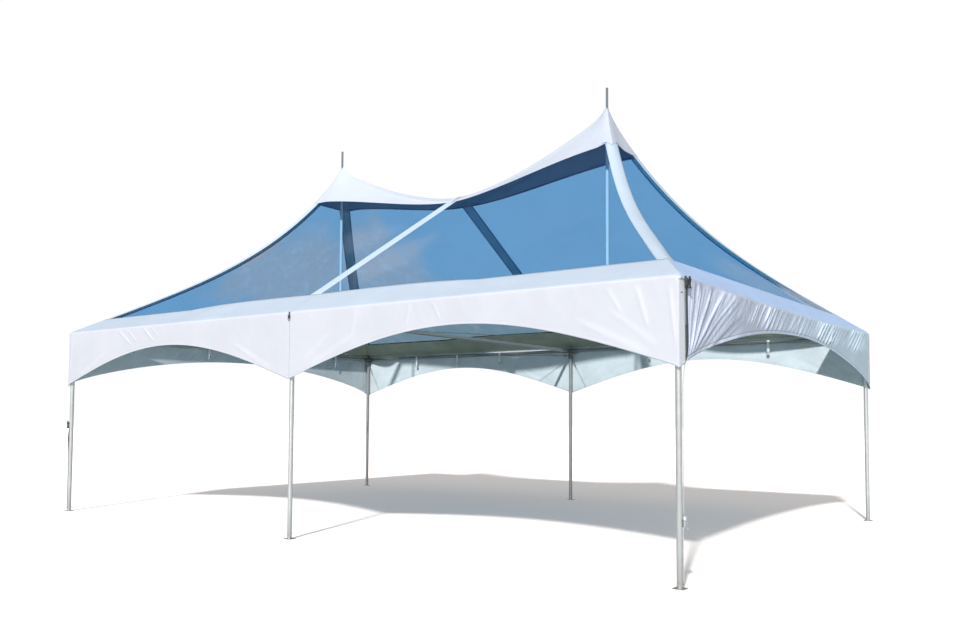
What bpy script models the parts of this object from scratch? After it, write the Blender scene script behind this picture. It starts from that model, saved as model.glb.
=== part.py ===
"""Marquee tent, 20 ft by 30 ft, with two high peaks.

A welded membrane roof with clear film panels stands on an aluminium tube frame of six legs. Two
masts carry the peaks. They stand on crossed steel cables, so the floor below is free.
X runs along the tent and Y across it, the front is at -Y, and the ground is at Z = 0.
"""
import math

import bmesh
import bpy
from mathutils import Matrix, Vector

# Overall sizes, in metres
BAY = 4.572                 # 15 ft from the middle legs to each end
HALF_WIDTH = 3.048          # 20 ft across, halved
EAVE = 2.48                 # the fold where the roof turns down into the valance
SADDLE = 4.375              # lowest point of the ridge, midway between the peaks
PEAK = 5.10                 # the four roof slopes would meet here
MAST_TOP = 5.405
PEAK_X = BAY / 2

# Curves of the stretched roof
HIP_STRAIGHT = 0.64         # share of a hip's rise that is straight, and the rest curls up
HIP_POWER = 4
RIDGE_POWER = 1.6
NECK_RISE = 0.045           # the cloth is drawn up round each mast
NECK_RADIUS = 0.20

# Membrane
CLOTH = 0.006
GAP = 0.0003                # left between pieces that touch
EAVE_SHARE = 0.126          # white band above the eave, as a share of the slope in plan
BAND_HALF = 0.0875          # half of the white bands on the hips and at mid roof
CROWN_HALF_SADDLE = 0.18    # half width of the white crown over the saddle
CROWN_SHARE = 0.1111        # reach of the crown beyond a peak, as a share of the slope in plan
CROWN_POWER = 1.8           # gathers the points of a crown's edge towards the mast
CROWN_ROW_POWER = 1.6       # gathers its rows towards the mast
VALANCE_LOW = 1.74          # lower points of the valance, at the legs
VALANCE_RISE = 0.47         # from there to the top of an arch
END_VALANCE_POWER = 0.72    # the end arches are fuller
MAST_HOLE_CLEARANCE = 0.0015

# Faces across and along each sheet
SIDE_VALANCE_COLUMNS = 16
END_VALANCE_COLUMNS = 20
SLOPE_ROWS = 2              # of a valance's sheet, above the fold
DROP_ROWS = 1               # and below it
BAND_COLUMNS = 2
HIP_ROWS = 12
MID_ROWS = 6
SIDE_WINDOW_COLUMNS = 8
SIDE_WINDOW_ROWS = 7
END_WINDOW_COLUMNS = 6
END_WINDOW_ROWS = 9
CROWN_SIDE_POINTS = 7
CROWN_END_POINTS = 3
CROWN_ROWS = 6

# Frame tubes and their fittings
TUBE_RADIUS = 0.0254
TUBE_WALL = 0.0032
TUBE_SIDES = 16
PIN_SIDES = 12
PLATE_SIDES = 24            # cable plates and hubs
FRAME_Z = 2.42              # axes of the tubes at the eave
INSET = 0.050               # leg axes in from the cloth
SLEEVE_RADIUS = 0.0302
SLEEVE_LENGTH = 0.13
SLEEVE_STOP = 0.036         # a tube stops here inside its sleeve
FITTING_SIDES = 16
PIN_RADIUS = 0.010          # the pin on a fitting that carries the cloth
LEG_TOP = FRAME_Z - SLEEVE_STOP - GAP

# Feet
FOOT_SIZE = 0.098
FOOT_PLATE = 0.006
SPIGOT_LENGTH = 0.090
STAKE_HOLE_RADIUS = 0.008
STAKE_HOLE_OFFSET = 0.035

# Masts and the cables below them
MAST_RADIUS = 0.0195
SPIKE_RADIUS = 0.0155
SPIKE_ROUND = 0.004
SHOULDER_DROP = 0.0008      # the pole stops this much lower, clear of the flats of the crown
MAST_FOOT_RADIUS = 0.040
MAST_FOOT = 0.010
MAST_SIDES = 16
COLLAR_RADIUS = 0.043       # cable plate on each fitting
COLLAR_Z = FRAME_Z - 0.075
COLLAR = 0.008
HUB_RADIUS = 0.055
HUB_Z = 2.270
HUB = 0.020
CABLE_RADIUS = 0.004
CABLE_SIDES = 8
FORK_RADIUS = 0.008
FORK_LENGTH = 0.060

CORNER_X = BAY - INSET
SIDE_Y = HALF_WIDTH - INSET

# Mesh settings
MERGE = 0.00001
SMOOTH_ANGLE = math.radians(35)


def collection(name):
    group = bpy.data.collections.new(name)
    bpy.context.scene.collection.children.link(group)
    return group


for old in list(bpy.data.objects):
    bpy.data.objects.remove(old, do_unlink=True)

PARTS = collection("marquee_tent")
CUTTERS = collection("cutters")


def finish(name, color, roughness, metallic=0.0, alpha=1.0):
    material = bpy.data.materials.new(name)
    material.use_nodes = True
    shader = material.node_tree.nodes["Principled BSDF"]
    shader.inputs["Base Color"].default_value = (*color, 1.0)
    shader.inputs["Roughness"].default_value = roughness
    shader.inputs["Metallic"].default_value = metallic
    shader.inputs["Alpha"].default_value = alpha
    return material


VINYL = finish("white_vinyl", (0.84, 0.87, 0.92), 0.45)
FILM = finish("clear_film", (0.36, 0.56, 0.78), 0.08, alpha=0.5)
ALUMINIUM = finish("aluminium", (0.62, 0.63, 0.64), 0.38, metallic=1.0)
CASTING = finish("cast_fitting", (0.50, 0.51, 0.52), 0.5, metallic=1.0)
STEEL = finish("galvanised_steel", (0.48, 0.49, 0.50), 0.45, metallic=1.0)
CABLE = finish("steel_cable", (0.40, 0.41, 0.42), 0.4, metallic=1.0)


def add_piece(name, mesh, material, place=None):
    """Put a mesh in the scene as one named sub-part."""
    piece = bpy.data.objects.new(name, mesh)
    if not mesh.materials:
        mesh.materials.append(material)
    if place is not None:
        piece.matrix_world = place
    PARTS.objects.link(piece)
    return piece


# The roof surface
def hip_rise(share):
    """Rise along a hip, from 0 at the corner to 1 at the peak."""
    return HIP_STRAIGHT * share + (1 - HIP_STRAIGHT) * share ** HIP_POWER


def ridge_height(x):
    return SADDLE + (PEAK - SADDLE) * min(abs(x) / PEAK_X, 1.0) ** RIDGE_POWER


def roof_height(x, y):
    """Height of the outer face of the roof."""
    side_share = (HALF_WIDTH - abs(y)) / HALF_WIDTH
    from_mast = math.hypot(abs(x) - PEAK_X, y)
    neck = NECK_RISE * max(0.0, 1 - from_mast / NECK_RADIUS) ** 2
    if abs(x) > PEAK_X:
        share = min(side_share, (BAY - abs(x)) / PEAK_X)
        return EAVE + (PEAK - EAVE) * hip_rise(share) + neck
    toward_peak = (abs(x) / PEAK_X) ** 2
    profile = (1 - toward_peak) * side_share + toward_peak * hip_rise(side_share)
    return EAVE + (ridge_height(x) - EAVE) * profile + neck


DOWN = Vector((0, 0, -CLOTH))


def on_roof(x, y):
    """A point of the roof, and the step from it to the inner face."""
    return Vector((x, y, roof_height(x, y))), DOWN


def make_sheet(name, material, columns, rows, place, closed=False):
    """A sheet of cloth: a grid whose points are placed by shares of its length and width.

    place(u, v) gives a point and the step through the thickness there. A closed sheet joins its
    first and last columns.
    """
    grid = bmesh.new()
    bmesh.ops.create_grid(grid, x_segments=columns, y_segments=rows, size=0.5)
    inward = grid.verts.layers.float_vector.new("inward")
    for vert in grid.verts:
        vert.co, vert[inward] = place(vert.co.x + 0.5, vert.co.y + 0.5)
    if closed:
        bmesh.ops.remove_doubles(grid, verts=grid.verts, dist=MERGE)
    made = bmesh.ops.extrude_face_region(grid, geom=grid.faces[:], use_keep_orig=True)
    for item in made["geom"]:
        if isinstance(item, bmesh.types.BMVert):
            item.co += item[inward]
    bmesh.ops.recalc_face_normals(grid, faces=grid.faces)
    mesh = bpy.data.meshes.new(name)
    grid.to_mesh(mesh)
    grid.free()
    return add_piece(name, mesh, material)


def between(a, b, share):
    return a + (b - a) * share


# Plan of the membrane, for one quarter: the ring of eave bands, the hips and the crown
RING_Y = HALF_WIDTH * (1 - EAVE_SHARE)
RING_X = BAY - PEAK_X * EAVE_SHARE
CROWN_X = PEAK_X * (1 + CROWN_SHARE)
CROWN_Y = HALF_WIDTH * CROWN_SHARE
HIP_SLANT = PEAK_X / HALF_WIDTH
HIP_WAY = Vector((PEAK_X, HALF_WIDTH)).normalized()
HIP_LENGTH = Vector((RING_X - CROWN_X, RING_Y - CROWN_Y)).length


def crown_half(x):
    """Half width of the crown at x."""
    return between(CROWN_HALF_SADDLE, CROWN_Y, min(abs(x) / PEAK_X, 1.0))


# Eave bands with their valances, welded as one sheet along the fold
def make_valance(name, columns, band_depth, start, end, face, arch):
    """One eave band with its valance.

    start and end give where the sheet begins and ends at a depth in from the fold. face turns a
    place along the eave and a depth into a point on plan. arch gives the height of the lower edge.
    """
    rows = SLOPE_ROWS + DROP_ROWS

    def place(u, v):
        step = (1 - v) * rows
        if step < SLOPE_ROWS + 0.5:
            depth = band_depth * (1 - step / SLOPE_ROWS)
            along = between(start(depth), end(depth), u)
            point = face(along, depth)
            point.z = roof_height(point.x, point.y)
            if round(step) < SLOPE_ROWS:
                return point, DOWN
        else:
            along = between(start(0), end(0), u)
            point = face(along, 0)
            point.z = arch(along)
            depth = 0
        inner = face(between(start(CLOTH), end(CLOTH), u), CLOTH)
        inner.z = point.z
        if round(step) == SLOPE_ROWS:
            inner.z = roof_height(inner.x, inner.y) - CLOTH
        return point, inner - point

    make_sheet(name, VINYL, columns, rows, place)


def side_arch(along):
    share = abs(along) / BAY
    return VALANCE_LOW + VALANCE_RISE * math.sin(math.pi * min(share, 1.0))


def end_arch(along):
    share = min(max((along + HALF_WIDTH) / (2 * HALF_WIDTH), 0.0), 1.0)
    return VALANCE_LOW + VALANCE_RISE * max(math.sin(math.pi * share), 0.0) ** END_VALANCE_POWER


def make_side_valance(name, side_x, side_y):
    def start(depth):
        return side_x * GAP / 2

    def end(depth):
        return side_x * (BAY - depth * HIP_SLANT - GAP)

    def face(along, depth):
        return Vector((along, side_y * (HALF_WIDTH - depth), 0))

    make_valance(name, SIDE_VALANCE_COLUMNS, HALF_WIDTH - RING_Y, start, end, face, side_arch)


def make_end_valance(name, side_x):
    def end(depth):
        return HALF_WIDTH - depth / HIP_SLANT - GAP

    def start(depth):
        return -end(depth)

    def face(along, depth):
        return Vector((side_x * (BAY - depth), along, 0))

    make_valance(name, END_VALANCE_COLUMNS, BAY - RING_X, start, end, face, end_arch)


for side_x, across in ((-1, "left"), (1, "right")):
    make_side_valance("front_" + across + "_valance", side_x, -1)
    make_side_valance("back_" + across + "_valance", side_x, 1)
    make_end_valance(across + "_end_valance", side_x)


# White bands along the hips and across mid roof
def make_hip_band(name, side_x, side_y):
    def place(u, v):
        offset = (2 * u - 1) * BAND_HALF
        # The ends of the band follow the ring and the crown, which turn at the hip
        slant = HIP_SLANT if offset > 0 else 1 / HIP_SLANT
        run = abs(offset) * slant + between(2 * GAP, HIP_LENGTH - 2 * GAP, v)
        x = RING_X - HIP_WAY.x * run - HIP_WAY.y * offset
        y = RING_Y - HIP_WAY.y * run + HIP_WAY.x * offset
        return on_roof(side_x * x, side_y * y)

    make_sheet(name, VINYL, BAND_COLUMNS, HIP_ROWS, place)


def make_mid_band(name, side_y):
    def place(u, v):
        x = (2 * u - 1) * BAND_HALF
        y = between(RING_Y - GAP, crown_half(x) + GAP, v)
        return on_roof(x, side_y * y)

    make_sheet(name, VINYL, BAND_COLUMNS, MID_ROWS, place)


for side_y, along in ((-1, "front"), (1, "back")):
    make_mid_band(along + "_mid_band", side_y)
    for side_x, across in ((-1, "left"), (1, "right")):
        make_hip_band(along + "_" + across + "_hip_band", side_x, side_y)


# Clear film panels between the bands
def hip_edge_x(y):
    """Where a panel of the long side ends against the hip band."""
    return PEAK_X + y * HIP_SLANT - BAND_HALF / HIP_WAY.y - 2 * GAP


def hip_edge_y(x):
    """Where a panel of the short side ends against the hip band."""
    return (x - PEAK_X) / HIP_SLANT - BAND_HALF / HIP_WAY.x - 2 * GAP


def make_side_window(name, side_x, side_y):
    columns = SIDE_WINDOW_COLUMNS
    low_y = RING_Y - GAP
    start_x = BAND_HALF + GAP

    def place(u, v):
        low_x = between(start_x, hip_edge_x(low_y), u)
        # The last column but one ends at the peak, where the crown's edge turns
        step = round(u * columns)
        top_x = between(start_x, PEAK_X, step / (columns - 1))
        if step == columns:
            top_x = hip_edge_x(CROWN_Y + GAP)
        x = between(low_x, top_x, v)
        y = between(low_y, crown_half(top_x) + GAP, v)
        return on_roof(side_x * x, side_y * y)

    make_sheet(name, FILM, columns, SIDE_WINDOW_ROWS, place)


def make_end_window(name, side_x):
    def place(u, v):
        x = between(RING_X - GAP, CROWN_X + GAP, v)
        y = (2 * u - 1) * hip_edge_y(x)
        return on_roof(side_x * x, y)

    make_sheet(name, FILM, END_WINDOW_COLUMNS, END_WINDOW_ROWS, place)


for side_x, across in ((-1, "left"), (1, "right")):
    make_side_window("front_" + across + "_window", side_x, -1)
    make_side_window("back_" + across + "_window", side_x, 1)
    make_end_window(across + "_end_window", side_x)


# White crowns round the masts, which meet over the saddle
def crown_outline():
    """Plan of the right crown, from the saddle along the front and round to the back."""
    front = []
    for step in range(CROWN_SIDE_POINTS):
        x = between(PEAK_X, GAP / 2, (1 - step / CROWN_SIDE_POINTS) ** CROWN_POWER)
        front.append(Vector((x, -crown_half(x))))
    front.append(Vector((PEAK_X, -CROWN_Y)))
    front.append(Vector((between(PEAK_X, CROWN_X, 0.5), -CROWN_Y)))
    for step in range(CROWN_END_POINTS):
        front.append(Vector((CROWN_X, -CROWN_Y * (1 - step / CROWN_END_POINTS))))
    back = [Vector((point.x, -point.y)) for point in reversed(front)]
    saddle = [Vector((GAP / 2, CROWN_HALF_SADDLE * share)) for share in (0.5, 0, -0.5)]
    return [*front, Vector((CROWN_X, 0)), *back, *saddle]


def make_crown(name, side_x):
    edge = crown_outline()
    mast = Vector((PEAK_X, 0))
    hole = SPIKE_RADIUS + MAST_HOLE_CLEARANCE

    def place(u, v):
        outer = edge[round(u * len(edge)) % len(edge)]
        inner = mast + (outer - mast).normalized() * hole
        point = inner.lerp(outer, v ** CROWN_ROW_POWER)
        return on_roof(side_x * point.x, point.y)

    make_sheet(name, VINYL, len(edge), CROWN_ROWS, place, closed=True)


make_crown("left_crown", -1)
make_crown("right_crown", 1)


# Turned pieces and tubes
def turned_mesh(name, profile, sides, closed_profile=False):
    """A profile of radius and height, top to bottom, turned about Z."""
    bm = bmesh.new()
    verts = [bm.verts.new((radius, 0, z)) for radius, z in profile]
    for low, high in zip(verts, verts[1:]):
        bm.edges.new((low, high))
    if closed_profile:
        bm.edges.new((verts[-1], verts[0]))
    mesh = bpy.data.meshes.new(name)
    bm.to_mesh(mesh)
    bm.free()
    guide = bpy.data.objects.new(name + "_profile", mesh)
    CUTTERS.objects.link(guide)
    screw = guide.modifiers.new("turn", "SCREW")
    screw.steps = sides
    screw.render_steps = sides
    screw.use_merge_vertices = True
    screw.merge_threshold = MERGE
    return applied_mesh(guide, name)


def applied_mesh(guide, name):
    """The evaluated mesh of a guide, which is then removed."""
    bpy.context.view_layer.update()
    graph = bpy.context.evaluated_depsgraph_get()
    mesh = bpy.data.meshes.new_from_object(guide.evaluated_get(graph))
    mesh.name = name
    bpy.data.objects.remove(guide, do_unlink=True)
    mesh.shade_smooth()
    mesh.set_sharp_from_angle(angle=SMOOTH_ANGLE)
    return mesh


def tube_mesh(name, length):
    """An open tube that stands on the origin."""
    bore = TUBE_RADIUS - TUBE_WALL
    profile = ((TUBE_RADIUS, length), (TUBE_RADIUS, 0), (bore, 0), (bore, length))
    return turned_mesh(name, profile, TUBE_SIDES, closed_profile=True)


def pointing(start, direction):
    """A placement with Z along a direction."""
    turn = Vector(direction).to_track_quat("Z", "Y").to_matrix().to_4x4()
    return Matrix.Translation(start) @ turn


LEG_PLACES = {
    "front_left": (-CORNER_X, -SIDE_Y),
    "front_middle": (0, -SIDE_Y),
    "front_right": (CORNER_X, -SIDE_Y),
    "back_left": (-CORNER_X, SIDE_Y),
    "back_middle": (0, SIDE_Y),
    "back_right": (CORNER_X, SIDE_Y),
}
LEG_FOOT = FOOT_PLATE + GAP
TUBE_START = SLEEVE_STOP + GAP

leg_mesh = tube_mesh("leg", LEG_TOP - LEG_FOOT)
for place_name, (x, y) in LEG_PLACES.items():
    add_piece(place_name + "_leg", leg_mesh, ALUMINIUM, Matrix.Translation((x, y, LEG_FOOT)))

side_mesh = tube_mesh("side_tube", CORNER_X - 2 * TUBE_START)
cross_mesh = tube_mesh("cross_tube", 2 * (SIDE_Y - TUBE_START))
for along, y in (("front", -SIDE_Y), ("back", SIDE_Y)):
    for across, x in (("left", -CORNER_X), ("right", 0)):
        start = (x + TUBE_START, y, FRAME_Z)
        add_piece(along + "_" + across + "_eave_tube", side_mesh, ALUMINIUM, pointing(start, (1, 0, 0)))
for cross_name, x in (("left_end_tube", -CORNER_X), ("crossbar", 0), ("right_end_tube", CORNER_X)):
    start = (x, -SIDE_Y + TUBE_START, FRAME_Z)
    add_piece(cross_name, cross_mesh, ALUMINIUM, pointing(start, (0, 1, 0)))


# Fittings and feet, cut and joined from plain solids
def cylinder(radius, start, direction, length, sides):
    """A guide cylinder from a start along a direction."""
    bm = bmesh.new()
    bmesh.ops.create_cone(
        bm, cap_ends=True, segments=sides, radius1=radius, radius2=radius, depth=length)
    bmesh.ops.translate(bm, verts=bm.verts, vec=(0, 0, length / 2))
    bmesh.ops.transform(bm, verts=bm.verts, matrix=pointing(start, direction))
    return guide_object(bm)


def guide_object(bm):
    mesh = bpy.data.meshes.new("guide")
    bm.to_mesh(mesh)
    bm.free()
    guide = bpy.data.objects.new("guide", mesh)
    guide.hide_render = True
    guide.display_type = "WIRE"
    CUTTERS.objects.link(guide)
    return guide


def combine(name, base, steps):
    """The mesh of a base after each union or cut, in order."""
    for operation, guide in steps:
        boolean = base.modifiers.new(operation.lower(), "BOOLEAN")
        boolean.operation = operation
        boolean.solver = "EXACT"
        boolean.object = guide
    mesh = applied_mesh(base, name)
    for operation, guide in steps:
        bpy.data.objects.remove(guide, do_unlink=True)
    return mesh


def fitting_mesh(name, arms, pin_top):
    """A slip fitting round the origin: sleeves for the leg and the arms, a cable plate, a pin."""
    leg_way = Vector((0, 0, -1))
    # The leg's sleeve runs on up to the top of the arms
    sleeve = SLEEVE_LENGTH + SLEEVE_RADIUS
    base = cylinder(SLEEVE_RADIUS, leg_way * SLEEVE_LENGTH, (0, 0, 1), sleeve, FITTING_SIDES)
    pin_start = SLEEVE_RADIUS / 2
    pin = cylinder(PIN_RADIUS, (0, 0, pin_start), (0, 0, 1), pin_top - pin_start, PIN_SIDES)
    collar_low = (0, 0, COLLAR_Z - COLLAR - FRAME_Z)
    collar = cylinder(COLLAR_RADIUS, collar_low, (0, 0, 1), COLLAR, PLATE_SIDES)
    steps = [("UNION", pin), ("UNION", collar)]
    for way in arms:
        steps.append(("UNION", cylinder(SLEEVE_RADIUS, (0, 0, 0), way, SLEEVE_LENGTH, FITTING_SIDES)))
    for way in (leg_way, *arms):
        bore = cylinder(TUBE_RADIUS + GAP, Vector(way) * SLEEVE_STOP, way, SLEEVE_LENGTH, TUBE_SIDES)
        steps.append(("DIFFERENCE", bore))
    return combine(name, base, steps)


def pin_height(x, y):
    """Height of a pin's top that just carries the cloth above it."""
    low = min(
        roof_height(x + sign_x * PIN_RADIUS, y + sign_y * PIN_RADIUS)
        for sign_x in (-1, 0, 1)
        for sign_y in (-1, 0, 1)
    )
    return low - CLOTH - GAP - FRAME_Z


corner_fitting = fitting_mesh(
    "corner_fitting", (Vector((-1, 0, 0)), Vector((0, 1, 0))), pin_height(CORNER_X, -SIDE_Y))
tee_fitting = fitting_mesh(
    "tee_fitting", (Vector((-1, 0, 0)), Vector((1, 0, 0)), Vector((0, 1, 0))), pin_height(0, -SIDE_Y))
FITTINGS = {
    "front_left": (corner_fitting, -90),
    "front_middle": (tee_fitting, 0),
    "front_right": (corner_fitting, 0),
    "back_left": (corner_fitting, 180),
    "back_middle": (tee_fitting, 180),
    "back_right": (corner_fitting, 90),
}
for place_name, (mesh, turn) in FITTINGS.items():
    x, y = LEG_PLACES[place_name]
    place = Matrix.Translation((x, y, FRAME_Z)) @ Matrix.Rotation(math.radians(turn), 4, "Z")
    add_piece(place_name + "_fitting", mesh, CASTING, place)


def foot_mesh():
    """A square base plate with a spigot that stands inside the leg, and two stake holes."""
    bm = bmesh.new()
    bmesh.ops.create_cube(bm, size=1.0)
    bmesh.ops.scale(bm, verts=bm.verts, vec=(FOOT_SIZE, FOOT_SIZE, FOOT_PLATE))
    bmesh.ops.translate(bm, verts=bm.verts, vec=(0, 0, FOOT_PLATE / 2))
    base = guide_object(bm)
    spigot = TUBE_RADIUS - TUBE_WALL - GAP
    steps = [("UNION", cylinder(spigot, (0, 0, FOOT_PLATE / 2), (0, 0, 1), SPIGOT_LENGTH, TUBE_SIDES))]
    for side in (-1, 1):
        corner = (side * STAKE_HOLE_OFFSET, side * STAKE_HOLE_OFFSET, -FOOT_PLATE)
        hole = cylinder(STAKE_HOLE_RADIUS, corner, (0, 0, 1), 3 * FOOT_PLATE, PIN_SIDES)
        steps.append(("DIFFERENCE", hole))
    return combine("foot", base, steps)


foot = foot_mesh()
for place_name, (x, y) in LEG_PLACES.items():
    add_piece(place_name + "_foot", foot, STEEL, Matrix.Translation((x, y, 0)))


# Masts, each with a foot, a pole and the spike that stands out above the crown
HUB_TOP = HUB_Z + HUB / 2
MAST_START = HUB_TOP + GAP


def mast_shoulder():
    """Height where the pole meets the underside of the cloth."""
    reach = MAST_RADIUS
    ways = [math.tau * step / MAST_SIDES for step in range(MAST_SIDES)]
    low = min(roof_height(PEAK_X + reach * math.cos(way), reach * math.sin(way)) for way in ways)
    return low - CLOTH - GAP - SHOULDER_DROP


shoulder = mast_shoulder()
mast_profile = (
    (0, MAST_TOP),
    (SPIKE_RADIUS - SPIKE_ROUND, MAST_TOP),
    (SPIKE_RADIUS, MAST_TOP - SPIKE_ROUND),
    (SPIKE_RADIUS, shoulder),
    (MAST_RADIUS, shoulder),
    (MAST_RADIUS, MAST_START + MAST_FOOT),
    (MAST_FOOT_RADIUS, MAST_START + MAST_FOOT),
    (MAST_FOOT_RADIUS, MAST_START),
    (0, MAST_START),
)
mast_mesh = turned_mesh("mast", mast_profile, MAST_SIDES)
for across, x in (("left", -PEAK_X), ("right", PEAK_X)):
    add_piece(across + "_mast", mast_mesh, ALUMINIUM, Matrix.Translation((x, 0, 0)))


# Crossed cables from each mast foot to the four fittings of its bay
def cable_mesh():
    """A hub with four cables and their end forks, placed for the right bay."""
    hub_foot = (PEAK_X, 0, HUB_Z - HUB / 2)
    base = cylinder(HUB_RADIUS, hub_foot, (0, 0, 1), HUB, PLATE_SIDES)
    hub = Vector((PEAK_X, 0, HUB_Z))
    steps = []
    for x in (0, CORNER_X):
        for y in (-SIDE_Y, SIDE_Y):
            fitting = Vector((x, y, COLLAR_Z - COLLAR / 2))
            way = (fitting - hub).normalized()
            level = Vector((way.x, way.y, 0)).length
            run = (fitting - hub).length - (COLLAR_RADIUS + GAP) / level
            start = hub + way * (HUB_RADIUS / 2)
            length = run - (HUB_RADIUS + FORK_LENGTH) / 2
            cable = cylinder(CABLE_RADIUS, start, way, length, CABLE_SIDES)
            fork_start = hub + way * (run - FORK_LENGTH)
            fork = cylinder(FORK_RADIUS, fork_start, way, FORK_LENGTH, CABLE_SIDES)
            steps += [("UNION", cable), ("UNION", fork)]
    return combine("cross_cables", base, steps)


cables = cable_mesh()
add_piece("right_cross_cables", cables, CABLE)
add_piece("left_cross_cables", cables, CABLE, Matrix.Rotation(math.pi, 4, "Z"))
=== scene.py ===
import math

import bmesh
import bpy
from mathutils import Matrix, Vector, noise


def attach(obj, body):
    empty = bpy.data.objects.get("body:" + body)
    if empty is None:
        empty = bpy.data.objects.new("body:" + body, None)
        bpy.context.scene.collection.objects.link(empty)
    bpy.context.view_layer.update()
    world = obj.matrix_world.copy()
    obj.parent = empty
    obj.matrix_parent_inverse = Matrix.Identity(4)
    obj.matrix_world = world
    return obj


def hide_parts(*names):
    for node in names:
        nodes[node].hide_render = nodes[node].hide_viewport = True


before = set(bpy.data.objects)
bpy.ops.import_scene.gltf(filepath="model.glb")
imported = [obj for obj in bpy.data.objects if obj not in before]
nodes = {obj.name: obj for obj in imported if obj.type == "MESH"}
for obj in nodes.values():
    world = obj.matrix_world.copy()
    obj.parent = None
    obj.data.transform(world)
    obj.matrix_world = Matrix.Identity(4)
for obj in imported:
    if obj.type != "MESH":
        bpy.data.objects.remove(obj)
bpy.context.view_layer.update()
scene = bpy.context.scene

# Camera, floor and light.
# The tent is seen from outside its front right corner, from the height of a person's chest, so
# the ridge runs away to the left. The floor is plain and pale, and the light is a broad soft sun.
CAMERA_PLACE = (7.4823, -9.7051, 1.3458)
CAMERA_YAW = -0.6466
CAMERA_PITCH = 0.0549
CAMERA_ROLL = 0.0058

camera_data = bpy.data.cameras.new("camera")
camera_data.sensor_width = 36
camera_data.lens = 33.65
camera_data.shift_x = 0.0128
camera_data.shift_y = 0.0488
camera_data.clip_end = 400
camera = bpy.data.objects.new("camera", camera_data)
scene.collection.objects.link(camera)
level = math.cos(CAMERA_PITCH)
view = Vector((math.sin(CAMERA_YAW) * level, math.cos(CAMERA_YAW) * level, math.sin(CAMERA_PITCH)))
camera_turn = view.to_track_quat("-Z", "Y").to_matrix().to_4x4()
camera.matrix_world = (
    Matrix.Translation(CAMERA_PLACE) @ camera_turn @ Matrix.Rotation(CAMERA_ROLL, 4, "Z")
)
scene.camera = camera
scene.view_settings.view_transform = "Standard"

FLOOR_REACH = 90
SUN_WAY = Vector((-0.297, 0.797, -0.530))
SUN_PLACE = (6, -16, 12)
GLOW_WAY = (0.55, -0.80, 0.22)      # the sky is brightest in front of the tent


def new_finish(name, colour, roughness, metallic=0.0):
    """A material with one Principled shader, and the shader."""
    finish = bpy.data.materials.new(name)
    finish.use_nodes = True
    shader = finish.node_tree.nodes["Principled BSDF"]
    shader.inputs["Base Color"].default_value = (*colour, 1.0)
    shader.inputs["Roughness"].default_value = roughness
    shader.inputs["Metallic"].default_value = metallic
    return finish, shader


def node(finish, kind, inputs, **settings):
    """A shader node with its settings and inputs, where a socket given as an input is linked."""
    made = finish.node_tree.nodes.new("ShaderNode" + kind)
    for key, value in settings.items():
        setattr(made, key, value)
    for key, value in inputs.items():
        if isinstance(value, bpy.types.NodeSocket):
            finish.node_tree.links.new(value, made.inputs[key])
        else:
            made.inputs[key].default_value = value
    return made


def join(finish, source, target):
    finish.node_tree.links.new(source, target)


floor_mesh = bmesh.new()
bmesh.ops.create_grid(floor_mesh, x_segments=1, y_segments=1, size=FLOOR_REACH)
floor_data = bpy.data.meshes.new("floor")
floor_mesh.to_mesh(floor_data)
floor_mesh.free()
floor = bpy.data.objects.new("floor", floor_data)
scene.collection.objects.link(floor)
floor_finish, floor_shader = new_finish("floor", (0.99, 0.89, 0.84), 0.9)
floor_shader.inputs["Specular IOR Level"].default_value = 0.0
floor_shader.inputs["Emission Color"].default_value = (1.0, 0.98, 0.95, 1.0)
floor_shader.inputs["Emission Strength"].default_value = 0.19
# The floor looks bright, and throws back a greyer light
floor_bounce = node(floor_finish, "BsdfDiffuse", {"Color": (0.48, 0.54, 0.545, 1)})
floor_ray = node(floor_finish, "LightPath", {})
floor_seen = node(floor_finish, "MixShader", {
    0: floor_ray.outputs["Is Camera Ray"],
    1: floor_bounce.outputs["BSDF"],
    2: floor_shader.outputs["BSDF"]})
floor_output = floor_finish.node_tree.nodes["Material Output"]
join(floor_finish, floor_seen.outputs["Shader"], floor_output.inputs["Surface"])
floor_data.materials.append(floor_finish)

world = bpy.data.worlds.new("studio")
world.use_nodes = True
scene.world = world
sky = world.node_tree.nodes["Background"]
sky.inputs["Color"].default_value = (0.88, 0.95, 1.0, 1.0)
way_seen = node(world, "TexCoord", {})
toward_front = node(
    world, "VectorMath", {0: way_seen.outputs["Generated"], 1: GLOW_WAY}, operation="DOT_PRODUCT")
glow = node(world, "MapRange", {
    "Value": toward_front.outputs["Value"],
    "From Min": -0.6, "From Max": 0.9, "To Min": 0.22, "To Max": 0.60})
join(world, glow.outputs["Result"], sky.inputs["Strength"])
# The sky gives light, and shows behind the tent as plain white
backdrop = node(world, "Background", {"Color": (1, 1, 1, 1), "Strength": 1.02})
ray = node(world, "LightPath", {})
choice = node(world, "MixShader", {
    0: ray.outputs["Is Camera Ray"],
    1: sky.outputs["Background"],
    2: backdrop.outputs["Background"]})
join(world, choice.outputs["Shader"], world.node_tree.nodes["World Output"].inputs["Surface"])


def sun(name, strength, spread):
    """A distant lamp that shines along SUN_WAY, with its width in degrees."""
    data = bpy.data.lights.new(name, "SUN")
    data.energy = strength * math.pi
    data.angle = math.radians(spread)
    lamp = bpy.data.objects.new(name, data)
    turn = SUN_WAY.to_track_quat("-Z", "Y").to_matrix().to_4x4()
    lamp.matrix_world = Matrix.Translation(SUN_PLACE) @ turn
    scene.collection.objects.link(lamp)
    return lamp


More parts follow.
